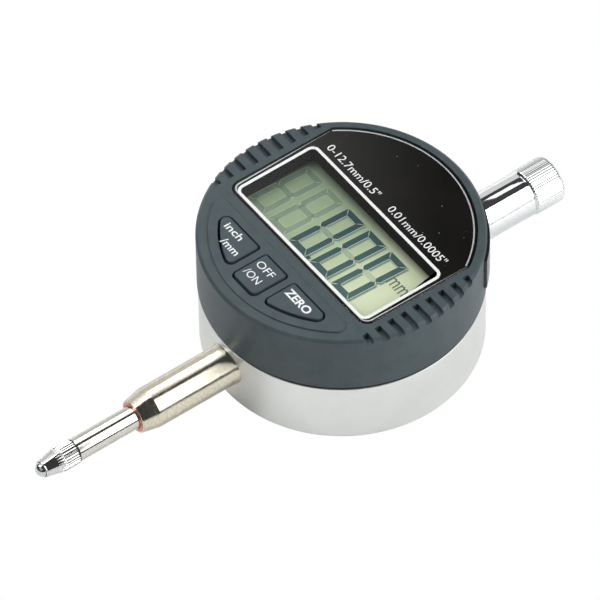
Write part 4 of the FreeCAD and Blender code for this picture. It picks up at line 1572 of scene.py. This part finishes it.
@dataclass
class PlungerGroup:
    """The spindle, the knurled contact holder and its ball."""

    spindle_r: float = 2.25
    shoulder_y: float = -60.2
    knurl_y: float = -63.2
    nose_y: float = -67.4
    knurl_r: float = 2.47
    nose_r: float = 1.66
    lip: float = 0.11
    bead: float = 0.08
    groove: float = 0.15
    undercut: float = 0.14
    crown: float = 0.22
    run_out: float = 0.5
    ball_r: float = 1.43
    ball_steps: int = 24
    teeth: int = 28
    tooth_depth: float = 0.3

    def dress(self) -> None:
        """Builds and finishes the moving parts that show."""
        self.dress_shaft()
        self.dress_contact()
        self.dress_nose()
        self.dress_ball()

    def dress_shaft(self) -> None:
        """The ground spindle."""
        end = high("spindle").y
        shaft = [
            (0.0, self.shoulder_y, 0.0),
            (self.spindle_r, self.shoulder_y, 0.2),
            (self.spindle_r, end, 0.4),
            (0.0, end, 0.0),
        ]
        rod = turned("spindle_shaft", shaft, Spin.SPINDLE, 96)
        dress(rod, GROUND_STEEL, PLUNGER, "polished_steel", "spindle")

    def dress_contact(self) -> None:
        """The contact holder: teeth that run out in its cone, over a dark core that paints shade into the
        grooves.
        """
        lengths = {
            "Radius": self.knurl_r,
            "Depth": self.tooth_depth,
            "Start": self.nose_y + 0.25,
            "End": self.shoulder_y - self.undercut,
            "Near Radius": self.nose_r,
            "Far Round": self.crown,
            "Height": AXIS_Z,
        }
        slope = (self.knurl_r - self.nose_r) / (self.knurl_y - self.run_out - self.nose_y)
        others = {"Teeth": self.teeth, "Rows": 60, "Near Slope": slope}
        body = grow("contact_body", knurl_tree(), lengths, others, CONTACT_STEEL)
        dress(body, CONTACT_STEEL, PLUNGER, "bright_contact", "contact_point")
        # The dark core shows between the teeth as painted shade in the grooves.
        bottom, end = self.knurl_r - self.groove, self.shoulder_y - 0.02
        core = [(0.0, self.knurl_y, 0.0), (bottom, self.knurl_y, 0.0), (bottom, end, 0.0), (0.0, end, 0.0)]
        grooves = turned("contact_groove_shade", core, Spin.SPINDLE, 96)
        dress(grooves, GROOVE_SHADE_STEEL, PLUNGER, "bright_contact")

    def dress_nose(self) -> None:
        """The rolled bead round the nose, which holds the ball."""
        lip = [
            (self.nose_r - self.lip, self.nose_y + 0.35, 0.0),
            (self.nose_r - self.lip, self.nose_y, 0.05),
            (self.nose_r + self.bead, self.nose_y, 0.09),
            (self.nose_r + self.bead, self.nose_y + 0.24, 0.09),
            (self.nose_r, self.nose_y + 0.35, 0.0),
        ]
        ring = turned("contact_nose", lip, Spin.SPINDLE, 96, looped=True)
        dress(ring, CONTACT_STEEL, PLUNGER, "bright_contact")

    def dress_ball(self) -> None:
        """The hard ball that touches the work."""
        tip = low("ball_tip").y
        turns = [math.pi * i / self.ball_steps for i in range(1, self.ball_steps)]
        arc = [(self.ball_r * math.sin(t), tip + self.ball_r * (1 - math.cos(t)), 0.0) for t in turns]
        profile = [(0.0, tip, 0.0), *arc, (0.0, tip + 2 * self.ball_r, 0.0)]
        ball = turned("contact_ball", profile, Spin.SPINDLE, 64)
        dress(ball, BALL_STEEL, PLUNGER, "ball_steel", "ball_tip")


@dataclass
class DustCap:
    """The chrome sleeve over the spindle's upper end, knurled where it is gripped."""

    sleeve_r: float = 4.4
    grip_r: float = 4.6
    groove_y: float = 41.3
    groove_depth: float = 0.3
    groove_end: float = 0.4
    bore: float = 3.4
    bore_end: float = 47.0
    teeth: int = 54
    tooth_depth: float = 0.065
    crown: float = 0.9

    def dress(self) -> None:
        """Builds and finishes the sleeve and the grip."""
        start, end = low("dust_cap").y, high("dust_cap").y
        neck_r, neck_y = self.sleeve_r - self.groove_depth, self.groove_y + self.groove_end
        sleeve = [
            (self.bore, start, 0.0),
            (self.sleeve_r - 0.02, start, 0.12),
            (self.sleeve_r, self.groove_y, 0.1),
            (neck_r, self.groove_y + 0.08, 0.0),
            (neck_r, neck_y, 0.0),
            (self.bore, neck_y, 0.0),
        ]
        piece = turned("cap_sleeve", sleeve, Spin.SPINDLE, 128, looped=True)
        dress(piece, CHROME, "cap", "chrome_cap", "dust_cap")
        lengths = {
            "Radius": self.grip_r,
            "Depth": self.tooth_depth,
            "Start": self.groove_y + 0.22,
            "End": end,
            "Near Radius": self.grip_r - 0.4,
            "Far Round": self.crown,
            "Height": AXIS_Z,
        }
        others = {"Teeth": self.teeth, "Rows": 40, "Near Slope": 1.0}
        grip = grow("cap_grip", knurl_tree(), lengths, others, CHROME)
        mouth, stop = self.groove_y - 1.0, self.bore_end
        hollow = [(0.0, mouth, 0.0), (self.bore, mouth, 0.0), (self.bore, stop, 0.0), (0.0, stop, 0.0)]
        cut_away(grip, turned("cap_hollow", hollow, Spin.SPINDLE, 96))
        dress(grip, CHROME, "cap", "chrome_cap")


@dataclass
class BatteryDoor:
    """The cover of the battery drawer: a curved gloss plate that stands a little proud."""

    centre_deg: float = 57.0
    half: float = 7.3
    outer_r: float = 27.0
    inner_r: float = 24.6
    z0: float = 17.75
    z1: float = 25.25
    soft: float = 0.45
    corner: float = 0.6

    def build(self) -> Piece:
        """A bowed plate whose outer edges are rounded off."""
        shell = bmesh.new()
        arcs = rounded_box_arcs(-self.half, self.half, self.z0, self.z1, [self.corner] * 4)
        levels = [
            (0.0, self.inner_r),
            (0.0, self.outer_r - self.soft),
            (0.06, self.outer_r - 0.25),
            (0.2, self.outer_r - 0.08),
            (0.5, self.outer_r),
        ]
        turn = math.radians(self.centre_deg)
        east, north = math.cos(turn), math.sin(turn)
        rings = []
        for inset, radius in levels:
            ring = []
            for v, z in arc_outline(arcs, inset, 10):
                reach = math.sqrt(radius**2 - v**2)
                ring.append(shell.verts.new((reach * east - v * north, reach * north + v * east, z)))
            rings.append(ring)
        join_stack(shell, rings)
        for ring in (rings[0], rings[-1]):
            edges = ring_edges(shell, ring)
            bmesh.ops.triangle_fill(shell, use_beauty=True, use_dissolve=False, edges=edges)
        return new_piece("battery_cover", shell, 40.0)

    def dress(self) -> None:
        """Builds and finishes the cover; the tray behind it stays a CAD node."""
        dress(self.build(), BLACK_ABS, "battery_drawer", "door_plastic")


# ---------------------------------------------------------------- carried-over nodes

CARRIED: dict[str, Finish] = {
    "back_cover_screws": SCREW_STEEL,
    "case_screws": SCREW_STEEL,
    "lcd_frame": BLACK_INNER,
    "zebra_strip": RUBBER,
    "main_board": GREEN_BOARD,
    "controller_chip": BLACK_INNER,
    "tact_switches": SCREW_STEEL,
    "board_screws": SCREW_STEEL,
    "board_connector": BLACK_INNER,
    "stator_board": GREEN_BOARD,
    "stator_screws": SCREW_STEEL,
    "upper_bush": BRASS,
    "stop_washer": RUBBER,
    "scale_carrier": BRASS,
    "carrier_screw": SCREW_STEEL,
    "scale_strip": GREEN_BOARD,
    "guide_pin": GROUND_STEEL,
    "guide_rail": BRASS,
    "rail_screws": SCREW_STEEL,
    "return_spring": GROUND_STEEL,
    "battery_door": BLACK_ABS,
    "battery_cell": CELL_STEEL,
    "battery_contact_plus": BRASS,
    "battery_contact_minus": BRASS,
}


def dress_carried_nodes() -> None:
    """Gives every CAD node that still shows its real finish."""
    for name, finish in CARRIED.items():
        SHELF.put(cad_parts[name], finish)
    LOG.info("%d carried-over nodes finished", len(CARRIED))


# ---------------------------------------------------------------- studio


@dataclass(frozen=True)
class Panel:
    """A soft rectangular light: its middle, which way it faces, its size and radiance.

    Places and sizes are in metres, and the second size runs along the spindle.
    """

    name: str
    place: Point3
    facing: Point3
    size: Point2
    radiance: float


@dataclass
class Studio:
    """A plain pale floor, soft panels of light and the camera.

    Two panels behind the indicator make the streaks on its round metal, with a dark gap
    between them. A graded card beside it makes the sheen on the face, strongest to the left.
    """

    azimuth: float = 54.31
    elevation: float = 50.0
    roll_deg: float = 0.96
    distance: float = 1.736
    aim: Point3 = (-0.0077, -0.00395, 0.0032)
    focal_mm: float = 567.3
    sensor_mm: float = 36.0
    card_z: float = 0.2
    card_bright: float = 1.05
    card_dim: float = 0.1
    card_far: float = 2.4
    card_ys: Point2 = (20.0, 178.0)
    card_xs: Point2 = (-32.0, 260.0)
    sheen_ends: Point2 = (-0.028, 0.018)
    far_ends: Point2 = (0.01, 0.06)
    fade_ends: Point2 = (0.075, 0.115)
    surround: float = 0.055
    floor_half: float = 1200.0
    floor_drop: float = 0.05
    panels: tuple[Panel, ...] = (
        Panel("right_panel", (0.45, 0.46, 0.45), (-1.0, 0.0, -1.0), (0.76, 0.74), 3.4),
        Panel("top_panel", (-0.36, -0.13, 0.58), (0.36, 0.13, -0.58), (0.45, 0.75), 5.6),
        Panel("front_panel", (0.25, -0.75, 0.6), (-0.25, 0.75, -0.6), (0.9, 0.6), 0.45),
        Panel("left_panel", (-0.62, 0.25, 0.24), (1.0, 0.0, 0.0), (0.5, 0.8), 0.66),
        Panel("cap_low_strip", (0.16, 0.105, 0.031), (-1.0, 0.0, 0.0), (0.036, 0.08), 1.0),
        Panel("cap_strip", (-0.085, 0.137, 0.2), (0.0, 0.0, -1.0), (0.076, 0.036), 1.2),
    )

    def camera(self) -> None:
        """Places the camera by azimuth, elevation and roll, with no shift."""
        a, e = math.radians(self.azimuth), math.radians(self.elevation)
        back = Vector((math.sin(a) * math.cos(e), -math.cos(a) * math.cos(e), math.sin(e)))
        right = Vector((math.cos(a), math.sin(a), 0.0))
        up = back.cross(right)
        roll = math.radians(self.roll_deg)
        right_rolled = right * math.cos(roll) - up * math.sin(roll)
        up_rolled = back.cross(right_rolled)
        data = bpy.data.cameras.new("view")
        data.lens = self.focal_mm
        data.sensor_width = self.sensor_mm
        data.clip_start, data.clip_end = 0.05, 20.0
        camera = bpy.data.objects.new("view", data)
        place = Matrix((right_rolled, up_rolled, back)).transposed().to_4x4()
        place.translation = Vector(self.aim) + back * self.distance
        camera.matrix_world = place
        bpy.context.scene.collection.objects.link(camera)
        bpy.context.scene.camera = camera

    def floor(self) -> None:
        """A pale floor that burns out to white in view, and lights metal as a real one does."""
        shell = bmesh.new()
        bmesh.ops.create_grid(shell, x_segments=2, y_segments=2, size=self.floor_half)
        bmesh.ops.translate(shell, vec=(0.0, 0.0, -self.floor_drop), verts=shell.verts)
        floor = new_piece("floor", shell)
        material, tree = new_material("pale_floor")
        inputs = {
            "Base Color": linear("#e6e7e7"),
            "Roughness": 0.6,
            "Emission Color": linear("#ffffff"),
            "Emission Strength": 0.1,
        }
        seen = add_node(tree, "ShaderNodeLightPath").outputs["Is Camera Ray"]
        surface(tree, mix_shaders(tree, seen, principled(tree, inputs), glow(tree, 1.0)))
        floor.data.materials.append(material)

    def sheen_card(self) -> None:
        """A card to the left, over the face, that fades out towards the right of the view."""
        a = math.radians(self.azimuth)
        left = Vector((-math.cos(a), -math.sin(a), 0.0))
        away = Vector((-math.sin(a), math.cos(a), 0.0))
        (near, far), (inner, outer) = self.card_ys, self.card_xs
        shell = bmesh.new()
        corners = []
        for along, side in ((near, inner), (far, inner), (far, outer), (near, outer)):
            place = left * side + away * along
            corners.append(shell.verts.new((place.x, place.y, self.card_z / MM)))
        shell.faces.new(corners)
        card = new_piece("sheen_card", shell)
        material, tree = new_material("graded_card")
        x, y, _ = split(tree, place_mm(tree))
        across = math_node(tree, "MULTIPLY_ADD", y, left.y, math_node(tree, "MULTIPLY", x, left.x))
        sheen = remap(tree, across, self.sheen_ends, (self.card_dim, self.card_bright), True)
        beyond = remap(tree, across, self.far_ends, (0.0, self.card_far), True)
        faded = remap(tree, across, self.fade_ends, (1.0, 0.0), True)
        surface(tree, glow(tree, math_node(tree, "MULTIPLY_ADD", beyond, faded, sheen)))
        card.data.materials.append(material)
        card.visible_camera = False

    def light(self, panel: Panel) -> None:
        """One soft rectangular light that faces the indicator and stays out of view."""
        data = bpy.data.lights.new(panel.name, "AREA")
        data.shape = "RECTANGLE"
        data.size, data.size_y = panel.size
        data.energy = panel.radiance * math.pi * panel.size[0] * panel.size[1]
        light = bpy.data.objects.new(panel.name, data)
        back = -Vector(panel.facing).normalized()
        across = Vector((0.0, 1.0, 0.0)).cross(back).normalized()
        place = Matrix((across, back.cross(across), back)).transposed().to_4x4()
        place.translation = panel.place
        light.matrix_world = place
        light.visible_camera = False
        bpy.context.scene.collection.objects.link(light)

    def world(self) -> None:
        """An even dim surround."""
        world = bpy.data.worlds.new("surround")
        world.use_nodes = True
        shade = world.node_tree.nodes["Background"]
        shade.inputs["Color"].default_value = linear("#f6faff")
        shade.inputs["Strength"].default_value = self.surround
        bpy.context.scene.world = world

    def set_up(self) -> None:
        """Sets the camera, floor and lights."""
        self.camera()
        self.floor()
        self.world()
        self.sheen_card()
        for panel in self.panels:
            self.light(panel)
        bpy.context.scene.view_settings.view_transform = "Standard"


# ---------------------------------------------------------------- whole object


def main() -> None:
    """Builds the indicator, group by group, in its studio."""
    logging.basicConfig(level=logging.INFO, format="%(name)s %(message)s")
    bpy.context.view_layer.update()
    Studio().set_up()
    groups = (
        FrontBezel(),
        RearHousing(),
        DisplayWindow(),
        CrystalDisplay(),
        Keypad(),
        StemGroup(),
        PlungerGroup(),
        DustCap(),
        BatteryDoor(),
    )
    for group in groups:
        group.dress()
        LOG.info("built %s", type(group).__name__)
    dress_carried_nodes()


if __name__ == "__main__":
    main()
